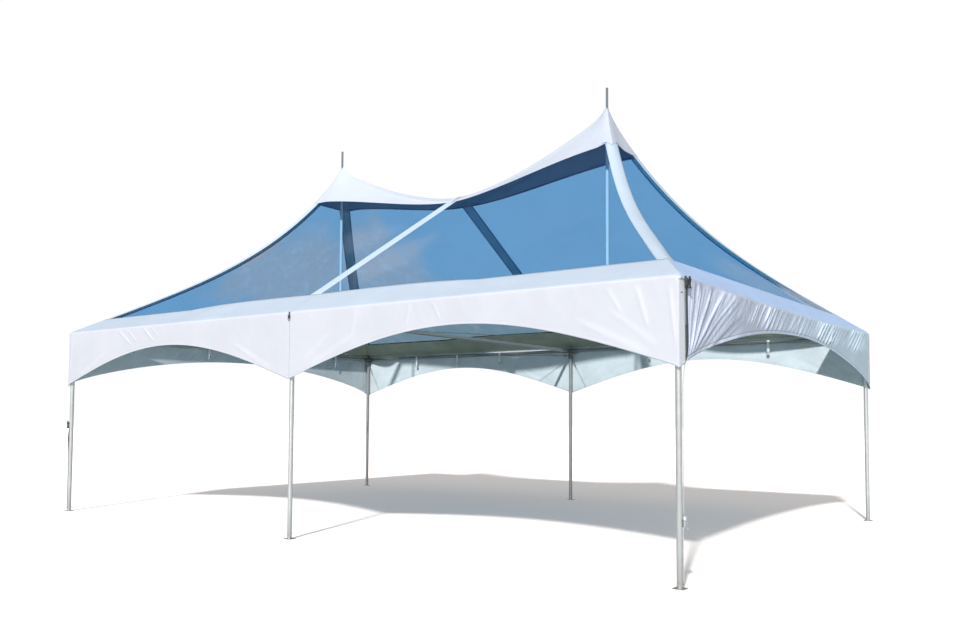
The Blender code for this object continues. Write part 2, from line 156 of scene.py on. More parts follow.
# One lamp lights only the floor, and the other lights the tent and passes freely through its film
floor_sun = sun("floor_sun", 1.5, 3.0)
floor_only = bpy.data.collections.new("floor_only")
floor_only.objects.link(floor)
floor_sun.light_linking.receiver_collection = floor_only
tent_sun = sun("tent_sun", 1.12, 1.2)
not_floor = bpy.data.collections.new("not_floor")
not_floor.objects.link(floor)
not_floor.collection_objects[0].light_linking.link_state = "EXCLUDE"
tent_sun.light_linking.receiver_collection = not_floor
not_film = bpy.data.collections.new("not_film")
tent_sun.light_linking.blocker_collection = not_film

# Base plates.
# Each leg stands on a square plate of galvanised steel with a spigot welded on, and a bolt
# through the leg holds the spigot. The plates are the CAD's own, in dull spangled zinc.
LEG_X = 4.522
LEG_Y = 2.998
LEG_PLACES = {
    "front_left": (-LEG_X, -LEG_Y),
    "front_middle": (0.0, -LEG_Y),
    "front_right": (LEG_X, -LEG_Y),
    "back_left": (-LEG_X, LEG_Y),
    "back_middle": (0.0, LEG_Y),
    "back_right": (LEG_X, LEG_Y),
}
TUBE_RADIUS = 0.0254
BOLT_SINK = 0.001           # a bolt's head starts this far inside the surface
PLATE_BOLT_Z = 0.055
PLATE_BOLT_RADIUS = 0.0085


def object_place(finish):
    """The place on the piece, in metres."""
    return node(finish, "TexCoord", {}).outputs["Object"]


def cloudy(finish, place, scale, detail, roughness=0.5):
    """Noise at a scale, in steps down to a detail."""
    made = node(
        finish, "TexNoise",
        {"Vector": place, "Scale": scale, "Detail": detail, "Roughness": roughness})
    return made.outputs["Fac"]


def remap(finish, value, low, high, start=0.0, end=1.0):
    """A value between start and end, turned into one between low and high."""
    made = node(
        finish, "MapRange",
        {"Value": value, "From Min": start, "From Max": end, "To Min": low, "To Max": high})
    return made.outputs["Result"]


def ramp(finish, value, first, last, start=0.0, end=1.0):
    """A run of colour from first at start to last at end."""
    made = node(finish, "ValToRGB", {"Fac": value})
    for element, colour, position in zip(made.color_ramp.elements, (first, last), (start, end)):
        element.color = (*colour, 1)
        element.position = position
    return made.outputs["Color"]


def blend(finish, share, first, second):
    """A mix of two colours, each given by its numbers or by a socket."""
    colours = {
        key: (*colour, 1) if isinstance(colour, tuple) else colour
        for key, colour in ((6, first), (7, second))}
    return node(finish, "Mix", {"Factor": share, **colours}, data_type="RGBA").outputs[2]


def scaled(finish, colour, share):
    """A colour made darker or brighter by a share."""
    return node(finish, "VectorMath", {0: colour, "Scale": share}, operation="SCALE").outputs["Vector"]


def roughen(finish, shader, pattern, low, high, start=0.0, end=1.0):
    """Lets a pattern change the roughness."""
    join(finish, remap(finish, pattern, low, high, start, end), shader.inputs["Roughness"])


def pressed(finish, below, pattern, strength, distance):
    """A raised pattern, on top of another where there is one below."""
    inputs = {"Height": pattern, "Strength": strength, "Distance": distance}
    if below:
        inputs["Normal"] = below
    return node(finish, "Bump", inputs).outputs["Normal"]


def emboss(finish, shader, pattern, strength, distance):
    """Lets a pattern raise the surface."""
    join(finish, pressed(finish, None, pattern, strength, distance), shader.inputs["Normal"])


def zinc_finish(name, dark, pale):
    """Spangled zinc between two tones of grey, with dirt in patches."""
    finish, shader = new_finish(name, (pale, pale, pale), 0.42, 0.85)
    place = object_place(finish)
    spangle = node(finish, "TexVoronoi", {"Vector": place, "Scale": 90.0})
    dirt = cloudy(finish, place, 14.0, 5.0)
    tone = ramp(finish, spangle.outputs["Color"], (dark, dark, dark), (pale, pale, pale))
    stain = ramp(finish, dirt, (0, 0, 0), (1, 1, 1), 0.52, 0.75)
    join(finish, blend(finish, stain, tone, (0.30, 0.27, 0.23)), shader.inputs["Base Color"])
    roughen(finish, shader, dirt, 0.32, 0.66)
    emboss(finish, shader, spangle.outputs["Distance"], 0.12, 0.002)
    return finish


def dress(name, finish):
    """Gives a CAD piece that stays its finish."""
    data = nodes[name].data
    data.materials.clear()
    data.materials.append(finish)


def add_piece(name, shape, finishes):
    """Puts a bmesh in the scene as one piece that rides with the tent."""
    data = bpy.data.meshes.new(name)
    shape.to_mesh(data)
    shape.free()
    for finish in finishes:
        data.materials.append(finish)
    piece = bpy.data.objects.new(name, data)
    scene.collection.objects.link(piece)
    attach(piece, "root")
    return piece


def smooth_piece(piece, angle=35):
    """Smooths a piece, apart from edges sharper than an angle in degrees."""
    piece.data.shade_smooth()
    piece.data.set_sharp_from_angle(angle=math.radians(angle))


def pointing(start, way):
    """A placement at start with Z along way."""
    return Matrix.Translation(start) @ Vector(way).to_track_quat("Z", "Y").to_matrix().to_4x4()


def edges_of(verts):
    """The edges that meet at some vertices, each once."""
    return list(dict.fromkeys(edge for vert in verts for edge in vert.link_edges))


def add_bolt(shape, start, way, radius, height, shank=0.0):
    """A hexagon head with rounded corners, and a shank below it where one shows."""
    place = pointing(start, way)
    head = bmesh.ops.create_cone(
        shape, cap_ends=True, segments=6, radius1=radius, radius2=radius, depth=height,
        matrix=place @ Matrix.Translation((0, 0, height / 2)))
    bmesh.ops.bevel(
        shape, geom=edges_of(head["verts"]), offset=height * 0.16, segments=2, profile=0.5,
        affect="EDGES", material=-1)
    if shank:
        bmesh.ops.create_cone(
            shape, cap_ends=True, segments=12, radius1=radius * 0.55, radius2=radius * 0.5,
            depth=shank, matrix=place @ Matrix.Translation((0, 0, height + shank / 2)))


zinc = zinc_finish("spangled_zinc", 0.44, 0.74)
plate_zinc = zinc_finish("dull_zinc", 0.34, 0.62)
plate_bolts = bmesh.new()
for place_name, (x, y) in LEG_PLACES.items():
    dress(place_name + "_foot", plate_zinc)
    outward = 1 if y > 0 else -1
    start = Vector((x, y + outward * (TUBE_RADIUS - BOLT_SINK), PLATE_BOLT_Z))
    add_bolt(plate_bolts, start, (0, outward, 0), PLATE_BOLT_RADIUS, 0.006)
    start.y = y - outward * (TUBE_RADIUS - BOLT_SINK)
    add_bolt(plate_bolts, start, (0, -outward, 0), PLATE_BOLT_RADIUS, 0.007, 0.006)
plate_bolts = add_piece("base_plate_bolts", plate_bolts, [zinc])
smooth_piece(plate_bolts)


# Legs.
# Two inch tubes of mill-finished aluminium, drawn lengthwise, with light oxide and rubbed marks
# from stacking, and a little soil splashed up the lowest part.
def aluminium_finish(name, grain, colour, soil=0.0, shine=0.45):
    """Drawn aluminium, streaked along the axis where grain is small, and soiled up to a height."""
    finish, shader = new_finish(name, colour, 0.36, shine)
    place = object_place(finish)
    along = node(finish, "Mapping", {"Vector": place, "Scale": grain}).outputs["Vector"]
    streak = cloudy(finish, along, 1.0, 6.0)
    oxide = cloudy(finish, place, 9.0, 4.0, 0.6)
    base = ramp(finish, oxide, [tone * 0.86 for tone in colour], colour, 0.30, 0.72)
    if soil:
        height = node(finish, "SeparateXYZ", {"Vector": place}).outputs["Z"]
        low = remap(finish, height, 0.75, 0.0, 0.0, soil)
        patch = node(finish, "Math", {0: low, 1: oxide}, operation="MULTIPLY")
        base = blend(finish, patch.outputs["Value"], base, (0.34, 0.31, 0.26))
    join(finish, base, shader.inputs["Base Color"])
    roughen(finish, shader, streak, 0.24, 0.52)
    emboss(finish, shader, streak, 0.10, 0.001)
    return finish


LEG_GRAIN = (180, 180, 1.2)
SPLASHED = 0.35             # soil reaches this high
LEG_SHINE = 0.85
leg_aluminium = aluminium_finish("leg_aluminium", LEG_GRAIN, (0.93, 0.885, 0.86), SPLASHED, LEG_SHINE)
# Painted shade: dimmer copies of the same aluminium, the darkest for the back legs under the roof
dimmer_aluminium = aluminium_finish("dimmer_leg_aluminium", LEG_GRAIN, (0.85, 0.81, 0.79), SPLASHED, LEG_SHINE)
shaded_aluminium = aluminium_finish("shaded_leg_aluminium", LEG_GRAIN, (0.47, 0.455, 0.44), SPLASHED, LEG_SHINE)
LEG_FINISHES = {"front_right": dimmer_aluminium, "back_left": shaded_aluminium, "back_middle": shaded_aluminium}
for place_name in LEG_PLACES:
    dress(place_name + "_leg", LEG_FINISHES.get(place_name, leg_aluminium))


# Corner and tee fittings.
# Slip fittings cast in aluminium, a tee or corner of sleeves over the tube ends, each sleeve
# with a set screw, and a round plate below for the cables of the masts.
def casting_finish():
    """Sand-cast aluminium, grained fine and gone grey in clouds."""
    finish, shader = new_finish("cast_aluminium", (0.66, 0.67, 0.68), 0.5, 0.9)
    place = object_place(finish)
    sand = cloudy(finish, place, 420.0, 3.0)
    cloud = cloudy(finish, place, 18.0, 4.0)
    tone = ramp(finish, cloud, (0.15, 0.16, 0.16), (0.30, 0.31, 0.31))
    join(finish, tone, shader.inputs["Base Color"])
    roughen(finish, shader, cloud, 0.42, 0.68)
    emboss(finish, shader, sand, 0.25, 0.001)
    return finish


FRAME_Z = 2.42
SLEEVE_RADIUS = 0.0302
SCREW_WAY = 0.095           # from the middle of a fitting along each sleeve
SCREW_RADIUS = 0.0075
SCREW_HEIGHT = 0.008
casting = casting_finish()
screws = bmesh.new()
for place_name, (x, y) in LEG_PLACES.items():
    dress(place_name + "_fitting", casting)
    inward = -1 if y > 0 else 1
    middle = Vector((x, y, FRAME_Z))
    ways = [Vector((0, inward, 0))]
    if x >= 0:
        ways.append(Vector((-1, 0, 0)))
    if x <= 0:
        ways.append(Vector((1, 0, 0)))
    for way in ways:
        top = middle + way * SCREW_WAY + Vector((0, 0, SLEEVE_RADIUS - BOLT_SINK))
        add_bolt(screws, top, (0, 0, 1), SCREW_RADIUS, SCREW_HEIGHT)
        side = Vector((way.y, way.x, 0))
        beside = middle + way * SCREW_WAY + side * (SLEEVE_RADIUS - BOLT_SINK)
        add_bolt(screws, beside, side, SCREW_RADIUS, SCREW_HEIGHT)
    below = middle + Vector((0, inward * (SLEEVE_RADIUS - BOLT_SINK), -SCREW_WAY))
    add_bolt(screws, below, (0, inward, 0), SCREW_RADIUS, SCREW_HEIGHT)
screws = add_piece("fitting_screws", screws, [zinc])
smooth_piece(screws)

# Eave tubes and crossbar.
# The same two inch tube as the legs, one to each bay along the sides, one across each end and
# one across the middle, pushed home in the sleeves.
# Painted shade: the tubes under the roof take much darker copies of the legs' aluminium
shaded_along_aluminium = aluminium_finish("eave_aluminium", (1.2, 180, 180), (0.26, 0.275, 0.27))
shaded_across_aluminium = aluminium_finish("cross_aluminium", (180, 1.2, 180), (0.36, 0.39, 0.375))
for name in ("front_left", "front_right", "back_left", "back_right"):
    dress(name + "_eave_tube", shaded_along_aluminium)
for name in ("left_end_tube", "right_end_tube", "crossbar"):
    dress(name, shaded_across_aluminium)

# Masts.
# Each mast is a white-anodised pole that stands on the cable hub, with a thinner bare spike that
# comes out through the crown.
MAST_X = 2.286
BARE_FROM = 5.12            # the spike is bare metal above this height


def mast_finish():
    """White anodised tube with drawn streaks, and bare metal on the spike."""
    finish, shader = new_finish("mast_anodised", (0.88, 0.90, 0.92), 0.4)
    place = object_place(finish)
    along = node(finish, "Mapping", {"Vector": place, "Scale": (160, 160, 1.0)}).outputs["Vector"]
    streak = cloudy(finish, along, 1.0, 5.0)
    height = node(finish, "SeparateXYZ", {"Vector": place}).outputs["Z"]
    bare = remap(finish, height, 0.0, 1.0, BARE_FROM, BARE_FROM + 0.03)
    colour = blend(finish, bare, (0.93, 0.96, 0.99), (0.15, 0.18, 0.20))
    worn = remap(finish, streak, 0.90, 1.06)
    join(finish, scaled(finish, colour, worn), shader.inputs["Base Color"])
    roughen(finish, shader, streak, 0.28, 0.52)
    emboss(finish, shader, streak, 0.08, 0.001)
    return finish


mast_white = mast_finish()
dress("left_mast", mast_white)
dress("right_mast", mast_white)

# Mast collars.
# A short sleeve of vinyl is sewn round the hole in each crown, and a steel hose clamp draws it
# tight on the spike.
SPIKE_RADIUS = 0.0155
CLAMP_LOW = 5.126
CLAMP_RING = [
    (0.0190, CLAMP_LOW), (0.0200, CLAMP_LOW + 0.001),
    (0.0200, CLAMP_LOW + 0.009), (0.0190, CLAMP_LOW + 0.010)]


def put_in(shape, part, place):
    """Moves a part to its place and adds it to a larger shape."""
    bmesh.ops.transform(part, matrix=place, verts=part.verts)
    data = bpy.data.meshes.new("part")
    part.to_mesh(data)
    part.free()
    shape.from_mesh(data)
    bpy.data.meshes.remove(data)


def turned(shape, profile, sides, place):
    """Adds a turned ring, from a closed profile of radius and height."""
    part = bmesh.new()
    verts = [part.verts.new((radius, 0, height)) for radius, height in profile]
    edges = [part.edges.new((verts[i - 1], verts[i])) for i in range(len(verts))]
    bmesh.ops.spin(
        part, geom=verts + edges, axis=(0, 0, 1), cent=(0, 0, 0), angle=math.tau, steps=sides,
        use_merge=True)
    bmesh.ops.recalc_face_normals(part, faces=part.faces)
    put_in(shape, part, place)


clamps = bmesh.new()
for side_x in (-1, 1):
    place = Matrix.Translation((side_x * MAST_X, 0, 0))
    turned(clamps, CLAMP_RING, 32, place)
    screw = Vector((side_x * MAST_X + 0.012, -0.021, CLAMP_LOW + 0.005))
    add_bolt(clamps, screw, (1, 0, 0), 0.004, 0.006, 0.010)
clamps = add_piece("mast_clamps", clamps, [zinc])
smooth_piece(clamps)

# Cross cables.
# Each mast stands on a steel hub that hangs on four wire ropes, one to the cable plate of each
# corner of its bay. Every rope has a swaged fork at the hub and a turnbuckle at the plate.
HUB = Vector((MAST_X, 0, 2.270))
HUB_RADIUS = 0.055
HUB_BORE = 0.012
CABLE_PLATE_Z = 2.341
CABLE_PLATE_RADIUS = 0.043
ROPE_RADIUS = 0.0042
ROPE_STEP = 0.008
ROPE_LAY = math.radians(24)         # the strands turn by this much in each step
ROPE_GROOVE = 0.80          # the grooves between strands lie at this share of the radius
TURNBUCKLE = 0.150          # length of its side bars
SIDE_BAR = 0.0105           # from the middle of a turnbuckle to each of its side bars
# The ropes are dark as weathered steel and as painted shade for their place under the roof
weathered_and_shaded_zinc = zinc_finish("weathered_and_shaded_rope", 0.10, 0.24)


def wire_rope(shape, place, length):
    """A rope of six strands along Z from the origin of the placement."""
    part = bmesh.new()
    ring = bmesh.ops.create_circle(part, cap_ends=False, segments=12, radius=ROPE_RADIUS)["verts"]
    for vert in ring[::2]:
        vert.co *= ROPE_GROOVE
    steps = int(length / ROPE_STEP)
    bmesh.ops.spin(
        part, geom=part.verts[:] + part.edges[:], axis=(0, 0, 1), cent=(0, 0, 0),
        dvec=(0, 0, length / steps), angle=ROPE_LAY * steps, steps=steps)
    bmesh.ops.holes_fill(part, edges=part.edges)
    bmesh.ops.recalc_face_normals(part, faces=part.faces)
    put_in(shape, part, place)


def rod(shape, place, radius, start, end, sides=12):
    """A round bar along Z of the placement, with its edges broken."""
    made = bmesh.ops.create_cone(
        shape, cap_ends=True, segments=sides, radius1=radius, radius2=radius, depth=end - start,
        matrix=place @ Matrix.Translation((0, 0, (start + end) / 2)))
    rims = [edge for edge in edges_of(made["verts"])
            if any(len(face.verts) == sides for face in edge.link_faces)]
    bmesh.ops.bevel(
        shape, geom=rims, offset=radius * 0.2, segments=2, profile=0.5, affect="EDGES", material=-1)


def block(shape, place, size, middle, break_edge):
    """A flat bar with broken edges."""
    made = bmesh.ops.create_cube(
        shape, size=1.0, matrix=place @ Matrix.Translation(middle) @ Matrix.Diagonal((*size, 1.0)))
    bmesh.ops.bevel(
        shape, geom=edges_of(made["verts"]), offset=break_edge, segments=2, profile=0.5,
        affect="EDGES", material=-1)


def left_or_right(side_x):
    return "left" if side_x < 0 else "right"


def fork(shape, place, start, end):
    """Two cheeks over a plate with a pin through them, and the socket that the rope enters."""
    for side in (-1, 1):
        middle = (0, side * 0.0125, (start + end) / 2)
        block(shape, place, (0.016, 0.004, abs(end - start)), middle, 0.001)
    pin = Matrix.Translation((0, -0.019, start + (end - start) * 0.25))
    rod(shape, place @ pin @ Matrix.Rotation(-math.pi / 2, 4, "X"), 0.0042, 0.0, 0.038)
    block(shape, place, (0.016, 0.029, 0.010), (0, 0, end), 0.002)


def turnbuckle(shape, place, start, end):
    """Two side bars between two nuts, with a threaded stud into each nut."""
    for side in (-1, 1):
        rod(shape, place @ Matrix.Translation((side * SIDE_BAR, 0, 0)), 0.0035, start, end)
    for low in (start, end - 0.016):
        rod(shape, place, 0.0125, low, low + 0.016, 6)
    rod(shape, place, 0.0048, end - 0.040, end + 0.020)
    rod(shape, place, 0.0048, start - 0.020, start + 0.050)


def cross_cables(side_x):
    """The hub of one mast with its four ropes."""
    name = left_or_right(side_x) + "_cross_cables"
    shape = bmesh.new()
    centre = Vector((side_x * HUB.x, 0, HUB.z))
    hub = Matrix.Translation(centre)
    rim = HUB_RADIUS
    for low, high in ((0.004, 0.010), (-0.010, -0.004)):
        cheek = [
            (HUB_BORE, low), (rim - 0.002, low), (rim, low + 0.0015),
            (rim, high - 0.0015), (rim - 0.002, high), (HUB_BORE, high)]
        turned(shape, cheek, 40, hub)
    rod(shape, hub, 0.020, -0.010, 0.010, 24)
    for far_x in (0.0, side_x * LEG_X):
        for side_y in (-1, 1):
            far = Vector((far_x, side_y * LEG_Y, CABLE_PLATE_Z))
            place = pointing(centre, far - centre)
            plate = (far - centre).length - CABLE_PLATE_RADIUS
            fork(shape, place, HUB_RADIUS - 0.022, HUB_RADIUS + 0.028)
            rod(shape, place, 0.0075, HUB_RADIUS + 0.030, HUB_RADIUS + 0.095)
            fork(shape, place, plate + 0.020, plate - 0.034)
            body_end = plate - 0.050
            body_start = body_end - TURNBUCKLE
            turnbuckle(shape, place, body_start, body_end)
            rod(shape, place, 0.0070, body_start - 0.075, body_start - 0.015)
            begin = HUB_RADIUS + 0.085
            wire_rope(shape, place @ Matrix.Translation((0, 0, begin)), body_start - 0.065 - begin)
    piece = add_piece(name + "_ropes", shape, [weathered_and_shaded_zinc])
    smooth_piece(piece, 50)
    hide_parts(name)


cross_cables(-1)
cross_cables(1)

# Eave bands and valances.
# White vinyl-coated polyester, welded up as one sheet for each bay: the band lies on the roof
# above the eave, and the valance hangs from the fold in an arch with a stitched hem. The outside
# is bright, and the inside is painted darker as painted shade. The side sheets turn the corners as a flap.
BAY = 4.572                 # from the middle leg to the end
HALF_WIDTH = 3.048
EAVE = 2.48
SADDLE = 4.375              # height of the ridge between the peaks
PEAK = 5.10
PEAK_X = BAY / 2
HIP_STRAIGHT = 0.64         # this share of a hip's rise is straight, and the rest curves up
HIP_ROUND = 0.03            # shares of the rise over which a hip is rounded
SLACK_ROUND = 0.21          # and the same for the front right hip, which is slack
RIDGE_ROUND = 0.06
RIDGE_CURVE = 1.6           # how slowly the ridge leaves the saddle
NECK_RISE = 0.085           # the cloth is drawn up this much round a mast
NECK_RADIUS = 0.26
EAVE_SHARE = 0.126          # shares of the rise that the eave bands and the crowns take
CROWN_SHARE = 0.1111
CROWN_HALF_SADDLE = 0.18
CORNER_SINK = 0.016         # the cloth is rounded down over each top corner
CORNER_REACH = 0.10
CORNER_RADIUS = 0.030
RING_Y = HALF_WIDTH * (1 - EAVE_SHARE)
RING_X = BAY - PEAK_X * EAVE_SHARE
HIP_SLANT = PEAK_X / HALF_WIDTH
VALANCE_LOW = 1.74
VALANCE_RISE = 0.47
CLOTH = 0.0014
FOLD_RADIUS = 0.024
HEM = 0.030
HEM_LIFT = 0.0022           # the folded hem stands out by this much
BILLOW = 0.012              # height of the broad waves in a valance
END_SAG = 0.030             # the eave of an end hangs this much lower at its middle
FLAP = 0.095
CREST_HEIGHT = 0.022        # a fold this high gets the full painted highlight
SEAM_GAP = 0.0001           # a sheet starts this far from the middle of the tent


def corner_name(side_x, side_y):
    return ("front_" if side_y < 0 else "back_") + left_or_right(side_x)


def between(a, b, share):
    return a + (b - a) * share


def ease(share):
    """0 below 0, 1 above 1 and a smooth step between."""
    share = min(max(share, 0.0), 1.0)
    return share * share * (3 - 2 * share)


def hip_rise(share):
    """The share of the height that a hip has reached at a share of the way."""
    return HIP_STRAIGHT * share + (1 - HIP_STRAIGHT) * share ** 4


def softened(apart, reach):
    """Rounds the fold between two slopes whose shares are this far apart."""
    if apart >= reach:
        return 0.0
    return apart / 2 * (1 - apart / reach) ** 2


def roof_height(x, y):
    """The height of the stretched roof over a place on plan."""
    rounded = SLACK_ROUND if x > 0 and y < 0 else HIP_ROUND
    x, y = abs(x), abs(y)
    side_share = (HALF_WIDTH - y) / HALF_WIDTH
    neck = NECK_RISE * max(0.0, 1 - math.hypot(x - PEAK_X, y) / NECK_RADIUS) ** 3
    sink = CORNER_SINK * max(0.0, 1 - math.hypot(BAY - x, HALF_WIDTH - y) / CORNER_REACH) ** 2
    if x > PEAK_X:
        end_share = (BAY - x) / PEAK_X
        share = min(side_share, end_share)
        reach = min(between(0.02, rounded, ease((share - 0.10) / 0.30)), 1 - share) * ease(share * 12)
        share += softened(abs(side_share - end_share), reach)
        return EAVE + (PEAK - EAVE) * hip_rise(share) + neck - sink
    toward_peak = (x / PEAK_X) ** 2
    side_share += softened(2 * y / HALF_WIDTH, RIDGE_ROUND * (1 - toward_peak))
    ridge = SADDLE + (PEAK - SADDLE) * (x / PEAK_X) ** RIDGE_CURVE
    profile = (1 - toward_peak) * side_share + toward_peak * hip_rise(side_share)
    return EAVE + (ridge - EAVE) * profile + neck - sink


def reckon(finish, operation, first, second=None):
    """The result of a sum on one or two numbers or sockets."""
    inputs = {0: first} if second is None else {0: first, 1: second}
    return node(finish, "Math", inputs, operation=operation).outputs["Value"]


def mark(finish, name):
    """A mark that the cloth carries, such as its distance from the hem."""
    return node(finish, "Attribute", {}, attribute_name=name).outputs["Fac"]


def wave(finish, cloth, scale, direction):
    """Threads or ribs across the flat cloth."""
    made = node(finish, "TexWave", {"Vector": cloth, "Scale": scale}, bands_direction=direction)
    return made.outputs["Fac"]


def vinyl_finish(name, colour, soil=0.06, fine=0.0, far=None):
    """Coated cloth: a faint scrim, soft mottling, stitched hems and fine slanting puckers, with painted
    shade in the valleys of folds, a painted highlight on their tops and on the hem, and a painted shadow
    line above the hem.

    far is the colour it turns to towards the back of the tent.
    """
    finish, shader = new_finish(name, colour, 0.45)
    shader.inputs["Specular IOR Level"].default_value = 0.35
    place = object_place(finish)
    cloth = node(finish, "UVMap", {}, uv_map="cloth").outputs["UV"]
    hem = mark(finish, "hem")
    scrim = reckon(finish, "MULTIPLY", wave(finish, cloth, 70.0, "X"), wave(finish, cloth, 70.0, "Y"))
    mottle = cloudy(finish, place, 1.7, 7.0, 0.62)
    crush = cloudy(finish, place, 7.0, 3.0)
    row = reckon(finish, "ABSOLUTE", reckon(finish, "SUBTRACT", hem, HEM * 0.82))
    line = remap(finish, row, 1.0, 0.0, 0.0008, 0.0022)
    stitch = reckon(finish, "MULTIPLY", line, wave(finish, cloth, 45.0, "X"))
    shade = remap(finish, mottle, 1.0 - soil, 1.0 + soil * 0.4, 0.25, 0.75)
    worn = reckon(finish, "SUBTRACT", shade, reckon(finish, "MULTIPLY", stitch, 0.22))
    # Painted shade in the valleys of folds and a painted highlight on their tops
    painted_fold_shade = remap(finish, mark(finish, "fold_shade_and_dust"), 1.0 - 0.5 * fine, 1.0 + 0.5 * fine)
    # Painted highlight on the hem strip, and a painted shadow line just above it
    painted_hem_highlight = remap(finish, hem, 1.0 + 0.45 * fine * fine, 1.0, HEM * 0.90, HEM)
    step = reckon(finish, "ABSOLUTE", reckon(finish, "SUBTRACT", hem, HEM + 0.003))
    shadow = remap(finish, step, 1.0 - 1.1 * fine * fine, 1.0, 0.002, 0.006)
    lit = reckon(finish, "MULTIPLY", reckon(finish, "MULTIPLY", painted_fold_shade, painted_hem_highlight), shadow)
    base = node(finish, "RGB", {}).outputs["Color"]
    base.default_value = (*colour, 1)
    if far:
        across = node(finish, "SeparateXYZ", {"Vector": place}).outputs["Y"]
        base = blend(finish, remap(finish, across, 0.0, 1.0, -1.5, 2.5), base, far)
    tint = scaled(finish, base, reckon(finish, "MULTIPLY", worn, lit))
    join(finish, tint, shader.inputs["Base Color"])
    roughen(finish, shader, crush, 0.38, 0.56, 0.3, 0.7)
    raised = pressed(finish, None, crush, 0.35, 0.006)
    if fine:
        slanting = node(
            finish, "Mapping", {"Vector": cloth, "Rotation": (0, 0, math.radians(38)), "Scale": (30, 5, 1)})
        thread = cloudy(finish, slanting.outputs["Vector"], 1.0, 2.0)
        puckers = reckon(finish, "MULTIPLY", thread, mark(finish, "pucker"))
        raised = pressed(finish, raised, puckers, fine, 0.010)
    raised = pressed(finish, raised, scrim, 0.12, 0.0006)
    raised = pressed(finish, raised, stitch, 0.5, 0.001)
    join(finish, raised, shader.inputs["Normal"])
    return finish


def inner_finish(name, colour, soil=0.10):
    """Painted shade for the inside of the cloth, a darker tint, with clouds of condensation dirt."""
    finish, shader = new_finish(name, colour, 0.6)
    shader.inputs["Specular IOR Level"].default_value = 0.2
    mottle = cloudy(finish, object_place(finish), 2.4, 6.0, 0.6)
    shade = remap(finish, mottle, 1.0 - 1.6 * soil, 1.0 + soil, 0.25, 0.75)
    join(finish, scaled(finish, colour, shade), shader.inputs["Base Color"])
    roughen(finish, shader, mottle, 0.5, 0.75)
    emboss(finish, shader, mottle, 0.3, 0.006)
    return finish


# Painted light: each part of the one white vinyl has its own tint for the light on it, bluer where it faces
# the sky, and darker and bluer on the ends, away from the sun
roof_vinyl = vinyl_finish("roof_vinyl", (0.53, 0.60, 0.70))
sky_lit_end_band_vinyl = vinyl_finish("sky_lit_end_band_vinyl", (0.48, 0.62, 0.88))
valance_vinyl = vinyl_finish("valance_vinyl", (0.66, 0.65, 0.70), fine=0.25)
shaded_end_vinyl = vinyl_finish("shaded_end_vinyl", (0.60, 0.63, 0.75), soil=0.14, fine=0.6, far=(0.62, 0.74, 0.83))
# Painted shade: the inside of the cloth is darker and tinted, as seen in the shade under the roof
shaded_roof_inside = inner_finish("shaded_roof_inside", (0.37, 0.41, 0.33), soil=0.18)
shaded_valance_inside = inner_finish("shaded_valance_inside", (0.61, 0.675, 0.70))


def cloth_sheet(name, columns, rows, place, finishes, lower_rows=0, closed=False, thickness=CLOTH):
    """A sheet of cloth as a fine grid.

    place(u, v) gives a point, its place on the flat cloth in metres, its distance from the hem,
    how puckered it is and how high it stands on a fold, which sets painted shade and highlight.
    The lowest rows take the second finish.
    The inner finishes follow the outer ones.
    """
    grid = bmesh.new()
    bmesh.ops.create_grid(grid, x_segments=columns, y_segments=rows, size=0.5)
    flat = grid.loops.layers.uv.new("cloth")
    hem = grid.verts.layers.float.new("hem")
    pucker = grid.verts.layers.float.new("pucker")
    fold_shade_and_dust = grid.verts.layers.float.new("fold_shade_and_dust")
    shares = {vert: (vert.co.x + 0.5, vert.co.y + 0.5) for vert in grid.verts}
    on_cloth = {}
    for face in grid.faces:
        middle = sum(shares[vert][1] for vert in face.verts) / len(face.verts)
        if middle * rows < lower_rows:
            face.material_index = 1
    for vert, (u, v) in shares.items():
        vert.co, on_cloth[vert], vert[hem], vert[pucker], vert[fold_shade_and_dust] = place(u, v)
    for face in grid.faces:
        for loop in face.loops:
            loop[flat].uv = on_cloth[loop.vert]
    if closed:
        bmesh.ops.remove_doubles(grid, verts=grid.verts, dist=0.00001)
    grid.normal_update()
    middle = Vector((0, 0, 1.5))
    if sum(face.normal.dot(face.calc_center_median() - middle) for face in grid.faces) < 0:
        bmesh.ops.reverse_faces(grid, faces=grid.faces)
    piece = add_piece(name, grid, finishes)
    piece.data.shade_smooth()
    wall = piece.modifiers.new("thickness", "SOLIDIFY")
    wall.thickness = thickness
    wall.offset = -1
    if len(finishes) > 1:
        wall.material_offset = len(finishes) // 2
    return piece


def crease_lift(creases, along, height):
    """How far creases raise the cloth. Each runs from one point to another and fades at its ends."""
    lift = 0.0
    for start_along, start_height, end_along, end_height, tall, wide in creases:
        way_a, way_h = end_along - start_along, end_height - start_height
        length = math.hypot(way_a, way_h)
        share = ((along - start_along) * way_a + (height - start_height) * way_h) / length ** 2
        if -0.05 < share < 1.05:
            off = ((height - start_height) * way_a - (along - start_along) * way_h) / length
            reach = wide * between(1.0, 0.6, share)
            if abs(off) < 2.6 * reach:
                lift += tall * math.exp(-((off / reach) ** 2)) * ease(share * 5) * ease((1 - share) * 4)
    return lift


def ridges(across, along, sharp, seed):
    """Narrow ridges with a place across them and along them, 0 to 1 high."""
    return max(0.0, 1 - abs(noise.noise(Vector((across, along, seed)))) * sharp) ** 1.4


def side_arch(along):
    """The height of the valance's lower edge on a long side, at a place from the middle leg."""
    return VALANCE_LOW + VALANCE_RISE * math.sin(math.pi * min(abs(along) / BAY, 1.0))


def end_arch(along):
    """The same on an end, at a place across the tent."""
    share = min(max((along + HALF_WIDTH) / (2 * HALF_WIDTH), 0.0), 1.0)
    return VALANCE_LOW + VALANCE_RISE * max(math.sin(math.pi * share), 0.0) ** 0.72


